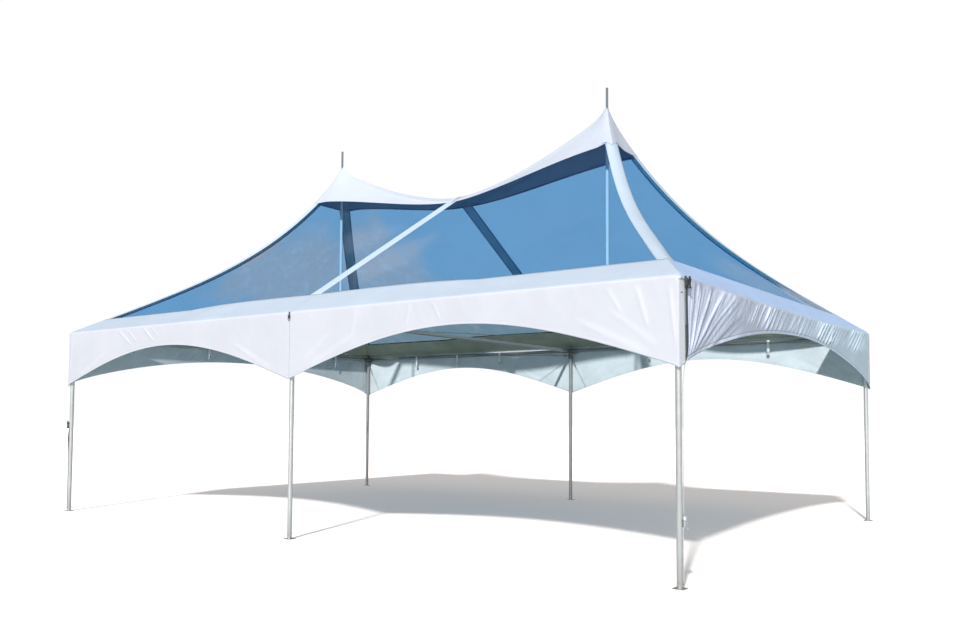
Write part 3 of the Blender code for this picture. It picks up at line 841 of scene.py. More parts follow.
def fold_shares(step):
    """How far in from the fold and how far below it a point is, at a step along the cloth past it."""
    if step < -FOLD_RADIUS:
        return -step, 0.0
    if step > FOLD_RADIUS:
        return 0.0, step
    return (FOLD_RADIUS - step) ** 2 / (4 * FOLD_RADIUS), (FOLD_RADIUS + step) ** 2 / (4 * FOLD_RADIUS)


BAND_ROWS = 12
FOLD_ROWS = 8
DROP_ROWS = 48
VALANCE_ROWS = BAND_ROWS + FOLD_ROWS + DROP_ROWS
BAND_FINISHES = {"side": roof_vinyl, "end": sky_lit_end_band_vinyl}
OUTER_FINISHES = {"side": valance_vinyl, "end": shaded_end_vinyl}


def valance(name, kind, columns, band_depth, ends, corner, outward, arch, relief, eave_sag, crowd=1.0):
    """One eave band with its valance.

    ends(depth, drop) gives where the sheet begins and ends, corner(along, depth, drop) turns a
    place along the eave into a point on plan, and outward is the way the valance faces there.
    relief(point, drop) gives how far folds lift the cloth, and crowd gathers columns at the start.
    """
    fold_drop = fold_shares(FOLD_RADIUS)[1]

    def place(u, v):
        u = u ** crowd
        row = (1 - v) * VALANCE_ROWS
        if row <= BAND_ROWS:
            step = between(-band_depth, -FOLD_RADIUS, row / BAND_ROWS)
        elif row <= BAND_ROWS + FOLD_ROWS:
            step = between(-FOLD_RADIUS, FOLD_RADIUS, (row - BAND_ROWS) / FOLD_ROWS)
        else:
            step = FOLD_RADIUS
        depth, drop = fold_shares(step)
        down = max(row - BAND_ROWS - FOLD_ROWS, 0) / DROP_ROWS
        start, end = ends(depth, drop + down * 0.5)
        along = between(start, end, u)
        # The arch sets the drop, and the drop sets the ends, so both are found a second time
        if down > 0:
            drop = between(fold_drop, EAVE - arch(along), down)
            start, end = ends(depth, drop)
            along = between(start, end, u)
            drop = between(fold_drop, EAVE - arch(along), down)
        point = corner(along, depth, drop)
        point.z = roof_height(point.x, point.y) - drop
        above_hem = EAVE - drop - arch(along)
        sag = eave_sag(along) * ease(1 - drop / 0.35) * (1 - depth / band_depth)
        lift, pucker = relief(point, drop)
        # How high the cloth stands on a fold, which sets painted shade and highlight in the finish
        fold_shade_and_dust = 0.5 + ease(drop / 0.02) * min(max(lift / CREST_HEIGHT - 0.25, -0.5), 0.5)
        billow = BILLOW * noise.noise(Vector((point.x * 0.8, point.y * 0.8, point.z * 0.9)))
        billow *= ease((BAY - abs(point.x) + HALF_WIDTH - abs(point.y)) / 0.8)
        lift += billow * ease(drop / 0.25)
        if drop > 0 and above_hem < HEM:
            lift += HEM_LIFT * ease((HEM - above_hem) / 0.004)
            pucker *= 0.4
        shift = outward(along) * lift * ease(drop / 0.02)
        point.z += sag
        return point + shift, (along, depth - drop), max(above_hem, 0.0) if drop > 0 else 1.0, pucker, fold_shade_and_dust

    finishes = [BAND_FINISHES[kind], OUTER_FINISHES[kind], shaded_roof_inside, shaded_valance_inside]
    piece = cloth_sheet(
        name + "_cloth", columns, VALANCE_ROWS, place, finishes, lower_rows=DROP_ROWS + FOLD_ROWS // 2)
    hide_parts(name)
    return piece


# Folds on the long sides run down from the eave and up from the points of the valances. Each row
# says where a fold starts and ends, along and up, and how high and how wide it is.
SIDE_FOLDS = [
    (-3.349, 2.462, -3.005, 2.227, 0.0060, 0.020),
    (-3.150, 2.460, -2.890, 2.270, 0.0040, 0.016),
    (-2.777, 2.462, -2.519, 2.257, 0.0060, 0.020),
    (-2.600, 2.460, -2.420, 2.310, 0.0035, 0.016),
    (1.750, 2.450, 1.675, 2.207, 0.0045, 0.018),
    (2.018, 2.461, 2.132, 2.240, 0.0045, 0.018),
    (1.020, 2.450, 0.930, 2.100, 0.0035, 0.022),
    (4.470, 2.430, 4.530, 1.874, 0.0060, 0.018),
    (4.179, 2.440, 4.290, 2.047, 0.0060, 0.022),
    (3.900, 2.440, 4.060, 2.180, 0.0040, 0.022),
    (-4.460, 2.430, -4.520, 1.900, 0.0045, 0.018),
    (0.250, 1.830, 1.020, 2.200, 0.0040, 0.040),
    (0.180, 1.900, 0.700, 2.260, 0.0030, 0.035),
    (-0.250, 1.830, -1.020, 2.200, 0.0040, 0.040),
    (4.330, 1.830, 3.560, 2.200, 0.0045, 0.040),
    (4.390, 1.900, 3.900, 2.260, 0.0030, 0.035),
    (-4.330, 1.830, -3.560, 2.200, 0.0040, 0.040),
    (-0.170, 2.460, -0.172, 1.800, 0.0016, 0.006),
]


def side_relief(point, drop):
    """How far folds lift the cloth of a long side, and how puckered it is."""
    lift = crease_lift(SIDE_FOLDS, point.x, point.z)
    fine = ridges(point.x * 4.0 + point.z * 1.5, point.z * 0.8, 3.0, 11.0 + point.y)
    top = ease(drop / 0.04) * ease((0.30 - drop) / 0.25)
    return lift + 0.0016 * fine * top, 0.35 * top


# The front right flap stands out slantwise: how far the slant begins from the corner, and how far
# it goes back along the end
SLANT_START = 0.023
SLANT_BACK = 0.078
SLANT = math.hypot(SLANT_START, SLANT_BACK)


def side_valance(side_x, side_y, columns):
    """The sheet of one bay, which turns the corner as a flap."""
    name = corner_name(side_x, side_y) + "_valance"
    slanted = side_x > 0 and side_y < 0
    flap = SLANT - SLANT_START if slanted else FLAP

    def ends(depth, drop):
        return SEAM_GAP, BAY - depth * HIP_SLANT + flap * ease(drop / 0.05)

    def corner(along, depth, drop):
        turn = CORNER_RADIUS * ease(drop / 0.04)
        edge_x = BAY - depth * HIP_SLANT
        edge_y = HALF_WIDTH - depth
        if slanted:
            size = ease(drop / 0.04)
            past = along - (edge_x - SLANT_START * size)
            if past <= 0 or size < 0.001:
                return Vector((min(along, edge_x), -edge_y, 0))
            share = past / SLANT
            return Vector((edge_x - SLANT_START * (size - share), -edge_y + SLANT_BACK * share, 0))
        past = along - (edge_x - turn)
        if past <= 0:
            return Vector((side_x * along, side_y * edge_y, 0))
        if turn < 0.001:
            return Vector((side_x * edge_x, side_y * (edge_y - past), 0))
        angle = min(past / turn, math.pi / 2)
        x = edge_x - turn + turn * math.sin(angle)
        y = edge_y - turn + turn * math.cos(angle) - max(past - turn * math.pi / 2, 0.0)
        return Vector((side_x * x, side_y * y, 0))

    def outward(along):
        angle = min(max((along - BAY + CORNER_RADIUS) / CORNER_RADIUS, 0.0), math.pi / 2)
        if slanted:
            angle = 1.12 * ease((along - BAY + SLANT_START) / 0.01 + 0.5)
        return Vector((side_x * math.sin(angle), side_y * math.cos(angle), 0))

    def arch(along):
        if along > BAY:
            return end_arch(HALF_WIDTH - (along - BAY))
        return side_arch(along)

    band = HALF_WIDTH - RING_Y
    piece = valance(
        name, "side", columns, band, ends, corner, outward, arch, side_relief, lambda along: 0.0)


# Folds on the ends fan out from the foot of the front corner, and pucker along the eave. The rows
# are as on the sides.
FAN_FOOT = (-2.93, 1.72)
FAN_END = -1.55
END_FOLDS = [
    (-2.850, 2.470, -2.930, 1.780, 0.0100, 0.016),
    (-2.642, 2.470, -2.925, 1.780, 0.0150, 0.020),
    (-2.425, 2.470, -2.910, 1.790, 0.0130, 0.020),
    (-2.154, 2.470, -2.880, 1.810, 0.0120, 0.018),
    (-1.841, 2.470, -2.700, 1.920, 0.0090, 0.018),
    (-1.264, 2.470, -1.523, 2.200, 0.0100, 0.018),
    (-0.940, 2.470, -1.140, 2.230, 0.0080, 0.018),
    (-0.099, 2.470, -0.379, 2.230, 0.0090, 0.018),
    (0.891, 2.470, 0.602, 2.230, 0.0110, 0.018),
    (1.348, 2.470, 1.100, 2.200, 0.0090, 0.018),
]


def end_relief(strength, opened):
    """Folds of one end, at a strength. opened turns on the fan that pulls at the front corner."""

    def relief(point, drop):
        along, height = point.y, point.z
        below = EAVE - height
        past = (along + HALF_WIDTH) / (2 * HALF_WIDTH)
        lean = between(0.6, 1.8, past)
        across = along + lean * below
        patch = 0.5 + 0.5 * noise.noise(Vector((along * 1.5, 3.0, 8.0)))
        depth = EAVE - end_arch(along)
        reach = max(between(0.28, 0.40, patch), 0.0)
        band = ease((drop - 0.006) / 0.02) * ease((reach - drop) / 0.14) * ease((depth - drop) / 0.04)
        band *= ease((1.02 - past) / 0.12)
        pucker = ridges(across * 7.5, height * 0.9, 3.6, 40.0) * 0.0105
        pucker += ridges(across * 17.0, height * 1.6, 3.2, 60.0) * 0.0050
        pucker *= band * between(0.25, 1.35, ease(patch * 1.6 - 0.3))
        fan = 0.0
        if opened:
            away_a, away_h = along - FAN_FOOT[0], height - FAN_FOOT[1]
            radius = math.hypot(away_a, away_h)
            angle = math.atan2(away_h, away_a)
            near = ease((FAN_END - along) / 0.7)
            fan = ridges(angle * 7.5, radius * 0.5, 3.0, 5.0) * 0.013 * radius
            fan += ridges(angle * 18.0, radius * 0.8, 3.0, 15.0) * 0.008 * radius
            fan *= near * ease((radius - 0.04) / 0.2) * ease(drop / 0.04)
            pucker *= 1 - 0.8 * near
            pucker += crease_lift(END_FOLDS, along, height)
        return strength * (pucker + fan), strength * max(band, ease((FAN_END - along) / 0.7))

    return relief


def closed_gap(along_side, drop):
    """The gap between a flap and the end valance where the corner is closed."""
    return 0.003


def open_gap(along_side, drop):
    """The flap stands open at the front corner, where the strap pulls the valance aside."""
    if along_side > 0:
        return closed_gap(along_side, drop)
    return 0.005 + 0.013 * ease(drop / 0.12) * ease((0.74 - drop) / 0.25) + 0.003 * math.sin(drop * 14)


def end_valance(side_x, relief, columns, gap, crowd):
    """The sheet of one end, between the flaps of the sides."""
    name = left_or_right(side_x) + "_end_valance"

    def ends(depth, drop):
        edge = HALF_WIDTH - depth / HIP_SLANT
        if drop <= 0:
            return -edge, edge
        closing = ease(drop / 0.05)
        return -edge + (FLAP + gap(-1, drop)) * closing, edge - (FLAP + gap(1, drop)) * closing

    def corner(along, depth, drop):
        return Vector((side_x * (BAY - depth), along, 0))

    def eave_sag(along):
        return -END_SAG * math.cos(math.pi * along / (2 * HALF_WIDTH))

    band = BAY - RING_X
    piece = valance(
        name, "end", columns, band, ends, corner, lambda along: Vector((side_x, 0, 0)),
        end_arch, relief, eave_sag, crowd)


side_valance(1, -1, 400)
side_valance(-1, -1, 400)
side_valance(1, 1, 230)
side_valance(-1, 1, 230)
end_valance(1, end_relief(1.0, True), 680, open_gap, 1.22)
end_valance(-1, end_relief(0.6, False), 280, closed_gap, 1.0)

# Hip bands and mid bands.
# Strips of the same vinyl, heat welded over the edges of the film: one up each hip from the ring
# of eave bands to the crown, and one up the middle of each long side.
HIP_BAND_HALF = 0.080
MID_BAND_HALF = 0.087
WELD = 0.020
CROWN_X = PEAK_X * (1 + CROWN_SHARE)
CROWN_Y = HALF_WIDTH * CROWN_SHARE
HIP_WAY = Vector((PEAK_X, HALF_WIDTH)).normalized()
HIP_LENGTH = Vector((RING_X - CROWN_X, RING_Y - CROWN_Y)).length
# Painted light: the bands take their own tints of the white vinyl for the light on them
hip_vinyl = vinyl_finish("hip_vinyl", (0.53, 0.62, 0.72))
mid_vinyl = vinyl_finish("mid_vinyl", (0.57, 0.69, 0.77))
# Painted shade: the insides of the bands, tinted as seen through the film, paler on the right hips
shaded_mid_inside = inner_finish("shaded_mid_band_inside", (0.18, 0.435, 0.68))
pale_shaded_inside = inner_finish("pale_shaded_band_inside", (0.39, 0.79, 0.98))
grey_shaded_inside = inner_finish("grey_shaded_band_inside", (0.31, 0.46, 0.58))


def crown_half(x):
    """How far the crown reaches to each side of the ridge."""
    return between(CROWN_HALF_SADDLE, CROWN_Y, min(abs(x) / PEAK_X, 1.0))


def hip_band(side_x, side_y):
    name = corner_name(side_x, side_y) + "_hip_band"

    def place(u, v):
        offset = (2 * u - 1) * HIP_BAND_HALF
        slant = HIP_SLANT if offset > 0 else 1 / HIP_SLANT
        run = abs(offset) * slant + between(0, HIP_LENGTH, v)
        x = side_x * (RING_X - HIP_WAY.x * run - HIP_WAY.y * offset)
        y = side_y * (RING_Y - HIP_WAY.y * run + HIP_WAY.x * offset)
        edge = min(u, 1 - u) * 2 * HIP_BAND_HALF
        return Vector((x, y, roof_height(x, y))), (run, offset), edge + HEM * 0.4, 0.0, 0.5

    finishes = [hip_vinyl, grey_shaded_inside if side_x < 0 else pale_shaded_inside]
    piece = cloth_sheet(name + "_cloth", 12, 160, place, finishes)
    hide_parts(name)


def mid_band(side_y):
    name = ("front" if side_y < 0 else "back") + "_mid_band"

    def place(u, v):
        x = (2 * u - 1) * MID_BAND_HALF
        y = between(RING_Y, crown_half(x), v)
        edge = min(u, 1 - u) * 2 * MID_BAND_HALF
        return Vector((x, side_y * y, roof_height(x, y))), (y, x), edge + HEM * 0.4, 0.0, 0.5

    piece = cloth_sheet(name + "_cloth", 10, 90, place, [mid_vinyl, shaded_mid_inside])
    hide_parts(name)


for side_y in (-1, 1):
    mid_band(side_y)
    for side_x in (-1, 1):
        hip_band(side_x, side_y)


# Clear film panels.
# Six panels of clear film with a blue tint, a millimetre thick, fill the roof between the white
# bands. They are welded under the edges of the bands and carry a little dust and old rain marks,
# most where they lie lowest. The haze, the rain marks and the dust are partly painted reflection
# of the sky and clouds, and the film is darker low at the back.
FILM = 0.001
FILM_DROP = 0.002           # the film lies this far under the bands
FILM_SLACK = 0.004
FILM_TINT = (0.60, 0.762, 0.885)
FILM_SHEEN = (0.30, 0.36, 0.44)
# Tints for haze, rain marks and dust, which are partly painted reflection, and for the darker film low at
# the back
CLOUD_REFLECTION_TINT = (0.785, 0.770, 0.805)
RAIN_DUST_AND_REFLECTION_TINT = (0.820, 0.870, 0.950)
LOW_BACK_TINT = (0.640, 0.655, 0.650)
DUST_AND_REFLECTION_COLOUR = (0.82, 0.87, 0.94)


def film_finish():
    """Tinted film, with haze, rain marks and dust that are partly painted reflection, darker low at the
    back.
    """
    finish, shader = new_finish("blue_film", FILM_SHEEN, 0.12)
    place = object_place(finish)
    dust = cloudy(finish, place, 1.6, 8.0, 0.55)
    speck = cloudy(finish, place, 11.0, 6.0, 0.7)
    streak_noise = cloudy(finish, place, 5.0, 9.0, 0.72)
    cloud = mark(finish, "pucker")
    dust_and_reflection = mark(finish, "fold_shade_and_dust")
    low_back = mark(finish, "hem")
    # Haze that is partly painted reflection of clouds
    haze_and_reflection = reckon(finish, "MULTIPLY", remap(finish, dust, 0.84, 1.0, 0.25, 0.60), cloud)
    tint = blend(finish, haze_and_reflection, FILM_TINT, CLOUD_REFLECTION_TINT)
    either = reckon(finish, "MAXIMUM", cloud, low_back)
    # Rain marks, partly painted reflection, where the film is hazy or low at the back
    rain_and_reflection = reckon(finish, "MULTIPLY", remap(finish, streak_noise, 0.0, 0.6, 0.50, 0.66), either)
    tint = blend(finish, rain_and_reflection, tint, RAIN_DUST_AND_REFLECTION_TINT)
    tint = blend(finish, dust_and_reflection, tint, RAIN_DUST_AND_REFLECTION_TINT)
    low_back_tint = blend(finish, low_back, (1, 1, 1), LOW_BACK_TINT)
    through = node(finish, "VectorMath", {0: tint, 1: low_back_tint}, operation="MULTIPLY")
    clear = node(finish, "BsdfTransparent", {"Color": through.outputs["Vector"]})
    emboss(finish, shader, cloudy(finish, place, 3.0, 3.0), 0.2, 0.01)
    # Dust, partly painted reflection, whitens the film and veils it
    whitened = reckon(finish, "MULTIPLY", remap(finish, speck, 0.29, 0.47, 0.40, 0.70), dust_and_reflection)
    join(finish, blend(finish, dust_and_reflection, FILM_SHEEN, DUST_AND_REFLECTION_COLOUR), shader.inputs["Base Color"])
    veil = reckon(finish, "ADD", remap(finish, dust, 0.015, 0.05, 0.35, 0.75), whitened)
    seen = node(
        finish, "MixShader", {0: veil, 1: clear.outputs["BSDF"], 2: shader.outputs["BSDF"]})
    # The film casts a full shadow
    shut = node(finish, "BsdfDiffuse", {"Color": (0.1, 0.12, 0.14, 1)})
    path = node(finish, "LightPath", {})
    whole = node(
        finish, "MixShader",
        {0: path.outputs["Is Shadow Ray"], 1: seen.outputs["Shader"], 2: shut.outputs["BSDF"]})
    join(finish, whole.outputs["Shader"], finish.node_tree.nodes["Material Output"].inputs["Surface"])
    return finish


film = film_finish()
# Patches of each kind: middle along and across the roof, half size along and across, strength
# Hazy patches, partly painted reflection of clouds
HAZE_AND_CLOUD_REFLECTIONS = [
    (-3.30, -0.05, 0.54, 1.35, 1.00),
    (-2.45, 1.15, 0.82, 0.70, 0.95),
]
SIDE_DUST = [
    (0.45, -1.95, 0.42, 0.55, 0.23),
    (-0.60, -1.15, 0.42, 0.38, 0.17),
]
# Dust on the end windows, partly painted reflection of the sky
END_DUST_AND_REFLECTION = [
    (4.16, 1.90, 0.34, 0.80, 0.95),
    (4.05, 0.40, 0.40, 1.10, 0.42),
]


def patches(kind, x, y):
    """How strongly patches of one kind cover a place, from 0 to 1."""
    total = 0.0
    for middle_x, middle_y, half_x, half_y, strength in kind:
        away = math.hypot((x - middle_x) / half_x, (y - middle_y) / half_y)
        away += 0.45 * noise.noise(Vector((x * 2.3, y * 2.3, 4.0)))
        total = max(total, strength * ease((1.42 - away) / 0.85))
    return total


def film_panel(name, columns, rows, place, along_side):
    """One panel of film, a little slack between its welds.

    On film the three marks say how dark it is low at the back, how hazy and how dusty it is; the haze and
    the dust are partly painted reflection.
    """

    def lowered(u, v):
        x, y = place(u, v)
        slack = 1 + noise.noise(Vector((x * 1.3, y * 1.3, 0)))
        slack *= ease(4 * min(u, 1 - u)) * ease(4 * min(v, 1 - v))
        point = Vector((x, y, roof_height(x, y) - FILM_DROP - FILM_SLACK * slack))
        # Darker film low at the back; haze and dust that are partly painted reflection
        low_back = ease((y - 1.70) / 0.5) * ease((2.6 - x) / 0.8) if along_side else 0.0
        dust = patches(SIDE_DUST, x, y) if along_side else patches(END_DUST_AND_REFLECTION, x, y)
        return point, (x, y), low_back, patches(HAZE_AND_CLOUD_REFLECTIONS, x, y), dust

    piece = cloth_sheet(name + "_film", columns, rows, lowered, [film], thickness=FILM)
    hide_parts(name)
    not_film.objects.link(piece)
    not_film.collection_objects[-1].light_linking.link_state = "EXCLUDE"
    return piece


def hip_edge_x(y):
    """How far along the roof a panel goes under the hip band, at a place across it."""
    return PEAK_X + y * HIP_SLANT - (HIP_BAND_HALF - WELD) / HIP_WAY.y


def hip_edge_y(x):
    """How far across the roof a panel goes under the hip band, at a place along it."""
    return (x - PEAK_X) / HIP_SLANT - (HIP_BAND_HALF - WELD) / HIP_WAY.x


def side_window(side_x, side_y):
    name = corner_name(side_x, side_y) + "_window"
    low_y = RING_Y + WELD
    start_x = MID_BAND_HALF - WELD
    turn = 0.94                 # share of the columns that end along the ridge

    def place(u, v):
        low_x = between(start_x, hip_edge_x(low_y), u)
        if u < turn:
            top_x = between(start_x, PEAK_X, u / turn)
        else:
            top_x = between(PEAK_X, hip_edge_x(CROWN_Y - WELD), (u - turn) / (1 - turn))
        x = between(low_x, top_x, v)
        y = between(low_y, crown_half(top_x) - WELD, v)
        return side_x * x, side_y * y

    piece = film_panel(name, 70, 44, place, True)


def end_window(side_x):
    name = left_or_right(side_x) + "_end_window"

    def place(u, v):
        x = between(RING_X + WELD, CROWN_X - WELD, v)
        return side_x * x, (2 * u - 1) * hip_edge_y(x)

    piece = film_panel(name, 48, 44, place, False)


for side_x in (-1, 1):
    end_window(side_x)
    for side_y in (-1, 1):
        side_window(side_x, side_y)

# Crowns.
# Two caps of white vinyl cover the ridge and the heads of the masts, and meet over the saddle.
# Each is gathered round its spike in a short neck.
# Painted light: the crowns take their own tint of the white vinyl for the light on them
crown_vinyl = vinyl_finish("crown_vinyl", (0.58, 0.61, 0.69))
# Painted shade: the dark blue inside of the crowns
shaded_crown_inside = inner_finish("shaded_crown_inside", (0.115, 0.24, 0.40))
# Corners of the right crown's edge, each with the number of points up to the next one
CROWN_CORNERS = [
    (Vector((SEAM_GAP, -CROWN_HALF_SADDLE)), 40),
    (Vector((PEAK_X, -CROWN_Y)), 8),
    (Vector((CROWN_X, -CROWN_Y)), 24),
    (Vector((CROWN_X, CROWN_Y)), 8),
    (Vector((PEAK_X, CROWN_Y)), 40),
    (Vector((SEAM_GAP, CROWN_HALF_SADDLE)), 12),
]
CROWD = 1.6                 # points stand closer together towards the saddle
CROWN_ROWS = 44
ROW_CROWD = 1.8             # rows of points stand closer together towards the spike
CROWN_PASSES = 14           # times that the heights inside a crown are smoothed


def crown_edge():
    """Points round the edge of the right crown, from the saddle along the front."""
    edge = []
    for number, (corner, count) in enumerate(CROWN_CORNERS):
        following = CROWN_CORNERS[(number + 1) % len(CROWN_CORNERS)][0]
        for step in range(count):
            share = step / count
            if number == 0:
                share = 1 - (1 - share) ** CROWD
            if number == 4:
                share = share ** CROWD
            edge.append(corner.lerp(following, share))
    return edge


def crown(side_x):
    """One cap, from its spike out to its edge."""
    name = left_or_right(side_x) + "_crown"
    edge = crown_edge()
    mast = Vector((PEAK_X, 0))

    def place(u, v):
        outer = edge[round(u * len(edge)) % len(edge)]
        inner = mast + (outer - mast).normalized() * (SPIKE_RADIUS + 0.0010)
        point = inner.lerp(outer, v ** ROW_CROWD)
        x = side_x * point.x
        made = Vector((x, point.y, roof_height(x, point.y)))
        return made, (point.x, point.y), (outer - point).length + HEM * 0.4, 0.0, 0.5

    finishes = [crown_vinyl, shaded_crown_inside]
    piece = cloth_sheet(name + "_cloth", len(edge), CROWN_ROWS, place, finishes, closed=True)
    shape = bmesh.new()
    shape.from_mesh(piece.data)
    inside = [vert for vert in shape.verts if not vert.is_boundary]
    for number in range(CROWN_PASSES):
        bmesh.ops.smooth_vert(
            shape, verts=inside, factor=0.5, use_axis_x=False, use_axis_y=False, use_axis_z=True)
    shape.to_mesh(piece.data)
    shape.free()
    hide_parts(name)


crown(-1)
crown(1)

# Straps over the eave tubes.
# Loops of white polyester webbing tie the roof down to the frame. Each goes once round an eave
# tube and hangs inside, with a dark steel slide on its tail.
STRAP_WIDTH = 0.038
STRAP = 0.0016
SIDE_STRAPS = (-3.28, -2.33, -1.40, 1.40, 3.24)
END_STRAPS = (-0.70, -0.24, 0.24, 0.70)     # as shares of the width between the legs


def webbing_finish(name, colour):
    """Woven webbing, worn in patches, with a rib across."""
    finish, shader = new_finish(name, colour, 0.7)
    cloth = node(finish, "UVMap", {}, uv_map="cloth").outputs["UV"]
    worn = cloudy(finish, object_place(finish), 30.0, 4.0)
    tint = scaled(finish, colour, remap(finish, worn, 0.72, 1.10))
    join(finish, tint, shader.inputs["Base Color"])
    roughen(finish, shader, worn, 0.6, 0.85)
    emboss(finish, shader, wave(finish, cloth, 160.0, "Y"), 0.4, 0.0008)
    return finish


def steel_finish():
    """Dark plated steel, rubbed bright in patches."""
    finish, shader = new_finish("dark_steel", (0.06, 0.065, 0.07), 0.45, 0.7)
    rub = cloudy(finish, object_place(finish), 60.0, 5.0)
    tone = ramp(finish, rub, (0.05, 0.055, 0.06), (0.30, 0.31, 0.32), 0.45, 0.80)
    join(finish, tone, shader.inputs["Base Color"])
    roughen(finish, shader, rub, 0.30, 0.62)
    emboss(finish, shader, rub, 0.15, 0.001)
    return finish


def slide(shape, place, wide, tall):
    """A three-bar slide: X across the webbing, Y along it and Z outward."""
    thick = 0.0035
    for across in (-1, 1):
        block(shape, place, (thick, tall, thick), (across * wide / 2, 0, 0), 0.0008)
    for along in (-1, 0, 1):
        block(shape, place, (wide, thick, thick), (0, along * (tall - thick) / 2, 0), 0.0008)


def path_point(path, share):
    """The point at a share of the length of a path of points."""
    lengths = [(b - a).length for a, b in zip(path, path[1:])]
    left = share * sum(lengths)
    for start, end, length in zip(path, path[1:], lengths):
        if left <= length:
            return start.lerp(end, left / length)
        left -= length
    return path[-1]


def strap(name, path, across, wide, finish, rows):
    """Webbing laid along a path, with across as its width."""
    length = sum((b - a).length for a, b in zip(path, path[1:]))

    def place(u, v):
        point = path_point(path, v) + across * ((u - 0.5) * wide)
        return point, ((u - 0.5) * wide, v * length), 1.0, 0.0, 0.5

    piece = cloth_sheet(name, 3, rows, place, [finish], thickness=STRAP)
    piece.modifiers["thickness"].offset = 0


white_webbing = webbing_finish("white_webbing", (0.86, 0.89, 0.89))
dark_webbing = webbing_finish("dark_webbing", (0.055, 0.065, 0.065))
dark_steel = steel_finish()
slides = bmesh.new()


def tube_strap(name, middle, along, inward):
    """A strap round a tube, with its slide. Its outline is how far inward and how high it goes."""
    reach = TUBE_RADIUS + STRAP
    outline = [(0.021, -0.180), (0.023, -0.045)]
    for step in range(27):
        angle = math.radians(-35 + step * 10)
        outline.append((reach * math.cos(angle), reach * math.sin(angle)))
    outline += [(0.017, -0.046), (0.0185, -0.100)]
    path = [middle + inward * out + Vector((0, 0, up)) for out, up in outline]
    strap(name, path, along, STRAP_WIDTH, white_webbing, 64)
    turn = Matrix((along, (0, 0, 1), inward)).transposed().to_4x4()
    place = Matrix.Translation(middle + inward * 0.0225 + Vector((0, 0, -0.150))) @ turn
    slide(slides, place, STRAP_WIDTH + 0.010, 0.030)


for side_y, side_name in ((-1, "front"), (1, "back")):
    for number, x in enumerate(SIDE_STRAPS, 1):
        tube_strap(
            f"{side_name}_strap_{number}", Vector((x, side_y * LEG_Y, FRAME_Z)),
            Vector((1, 0, 0)), Vector((0, -side_y, 0)))
for side_x, side_name in ((-1, "left"), (1, "right")):
    for number, share in enumerate(END_STRAPS, 1):
        tube_strap(
            f"{side_name}_end_strap_{number}", Vector((side_x * LEG_X, share * LEG_Y, FRAME_Z)),
            Vector((0, 1, 0)), Vector((-side_x, 0, 0)))
slides = add_piece("strap_slides", slides, [dark_steel])
smooth_piece(slides)


# Ratchets and leg straps.
# Two corners are drawn down to their base plates with ratchet straps of dark webbing. At the front
# right corner the strap starts at a ratchet on the eave and drops through the open flap.
def cross_rod(shape, place, radius, middle, length, sides):
    """A round bar along X of the placement."""
    across = place @ Matrix.Translation(middle) @ Matrix.Rotation(math.pi / 2, 4, "Y")
    rod(shape, across, radius, -length / 2, length / 2, sides)


def ratchet(shape, place):
    """A ratchet buckle: X across the webbing, Y along it and Z outward."""
    for across in (-0.021, 0.021):
        block(shape, place, (0.003, 0.095, 0.024), (across, 0, 0.010), 0.0008)
        cross_rod(shape, place, 0.015, (across, 0.018, 0.014), 0.008, 20)
    cross_rod(shape, place, 0.008, (0, 0.018, 0.014), 0.048, 16)
    cross_rod(shape, place, 0.004, (0, -0.040, 0.006), 0.048, 12)
    block(shape, place, (0.036, 0.060, 0.004), (0, -0.020, 0.026), 0.001)
    block(shape, place, (0.046, 0.012, 0.008), (0, -0.048, 0.029), 0.002)


def facing(middle, outward):
    """A placement with Z outward, Y up and X across."""
    outward = Vector(outward).normalized()
    up = Vector((0, 0, 1))
    across = up.cross(outward)
    return Matrix.Translation(middle) @ Matrix((across, up, outward)).transposed().to_4x4()


RIGHT_LEG = Vector((LEG_X, -LEG_Y, 0))
LEFT_LEG = Vector((-LEG_X, -LEG_Y, 0))
RIGHT_WAY = Vector((0.80, 0.60, 0))
LEFT_WAY = Vector((-0.96, -0.28, 0))
CORNER_WAY = Vector((0.90, -0.43, 0))
NARROW_WEBBING = 0.020
WIDE_WEBBING = 0.025


def beside_leg(leg, way, reach, height):
    """A place beside a leg, at a reach from its middle."""
    return leg + way * reach + Vector((0, 0, height))


ratchets = bmesh.new()
ratchet(ratchets, facing((4.588, -2.974, 2.425), CORNER_WAY))
ratchet(ratchets, facing(beside_leg(LEFT_LEG, LEFT_WAY, 0.034, 1.20), LEFT_WAY))
ratchets = add_piece("ratchets", ratchets, [dark_steel])
smooth_piece(ratchets)
low_ratchet = bmesh.new()
ratchet(low_ratchet, facing(beside_leg(RIGHT_LEG, RIGHT_WAY, 0.031, 0.52), RIGHT_WAY))
low_ratchet = add_piece("low_ratchet", low_ratchet, [zinc])
smooth_piece(low_ratchet)

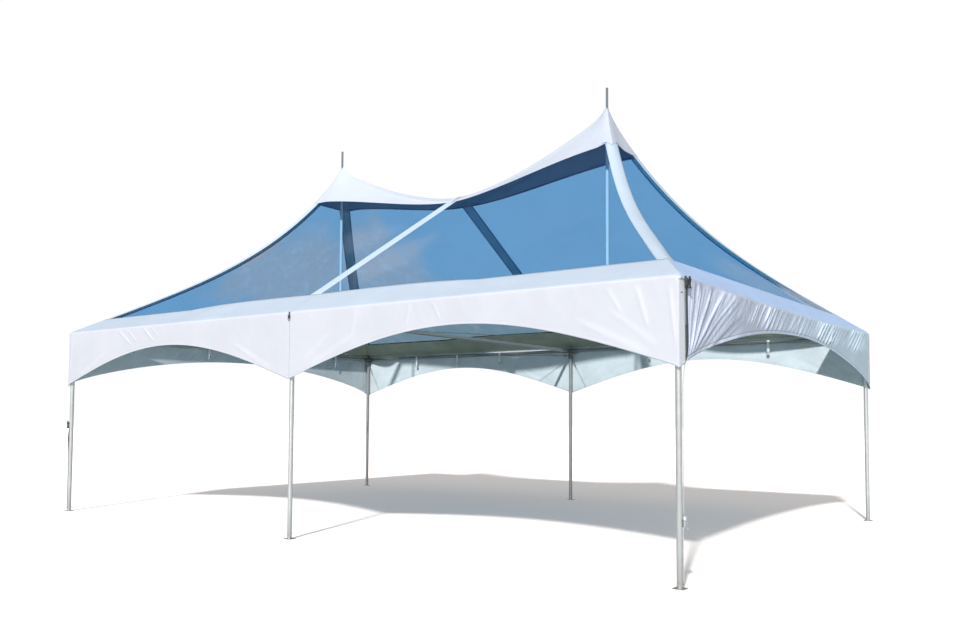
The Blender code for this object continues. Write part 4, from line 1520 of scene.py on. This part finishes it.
# The places that each strap runs down through, as points or as reach from its leg and height
CORNER_PATH = [
    (4.590, -2.975, 2.462), (4.588, -2.976, 2.400), (4.585, -2.973, 2.300), (4.583, -2.964, 2.160),
    (4.582, -2.953, 2.000), (4.580, -2.951, 1.920), (4.574, -2.957, 1.840), (4.564, -2.968, 1.780)]
LEG_PATH = [(4.564, -2.968, 1.778), (4.551, -2.977, 1.600), (4.5484, -2.978, 0.560)]
FOOT_PATH = [(0.0290, 0.48), (0.0290, 0.25), (0.0290, 0.03)]
LEFT_CORNER_PATH = [(0.0300, 1.90), (0.0300, 1.60), (0.0290, 1.24)]
LEFT_FOOT_PATH = [(0.0290, 1.15), (0.0440, 1.02), (0.0300, 0.80), (0.0290, 0.40), (0.0290, 0.03)]
# The corner strap is dark webbing, and also stands as painted shade for the open gap behind the flap
strap(
    "right_corner_strap", [Vector(point) for point in CORNER_PATH],
    Vector((0.43, 0.90, 0)), NARROW_WEBBING, dark_webbing, 40)
strap(
    "right_leg_strap", [Vector(point) for point in LEG_PATH],
    Vector((-0.60, 0.80, 0)), NARROW_WEBBING, white_webbing, 40)
strap(
    "right_foot_strap", [beside_leg(RIGHT_LEG, RIGHT_WAY, *step) for step in FOOT_PATH],
    Vector((-0.60, 0.80, 0)), WIDE_WEBBING, white_webbing, 20)
strap(
    "left_corner_strap", [beside_leg(LEFT_LEG, LEFT_WAY, *step) for step in LEFT_CORNER_PATH],
    Vector((0.28, -0.96, 0)), WIDE_WEBBING, white_webbing, 24)
strap(
    "left_foot_strap", [beside_leg(LEFT_LEG, LEFT_WAY, *step) for step in LEFT_FOOT_PATH],
    Vector((0.28, -0.96, 0)), WIDE_WEBBING, dark_webbing, 40)

# Middle hooks.
# A flat steel hook with a ring is laced through the valance at the middle leg on each long side,
# just under the fold.
HOOK_Z = 2.436
hooks = bmesh.new()
for side_y in (-1, 1):
    place = facing((0, side_y * (HALF_WIDTH + 0.004), HOOK_Z), (0, side_y, 0))
    block(hooks, place, (0.018, 0.050, 0.003), (0, 0.020, 0.002), 0.0008)
    block(hooks, place, (0.028, 0.034, 0.010), (0, -0.006, 0.006), 0.002)
    turned(
        hooks, [(0.013, -0.002), (0.017, -0.002), (0.017, 0.002), (0.013, 0.002)], 24,
        place @ Matrix.Translation((0, -0.036, 0.006)))
    add_bolt(hooks, place @ Vector((0, 0.036, 0.003)), (0, side_y, 0), 0.005, 0.004)
hooks = add_piece("middle_hooks", hooks, [dark_steel])
smooth_piece(hooks)
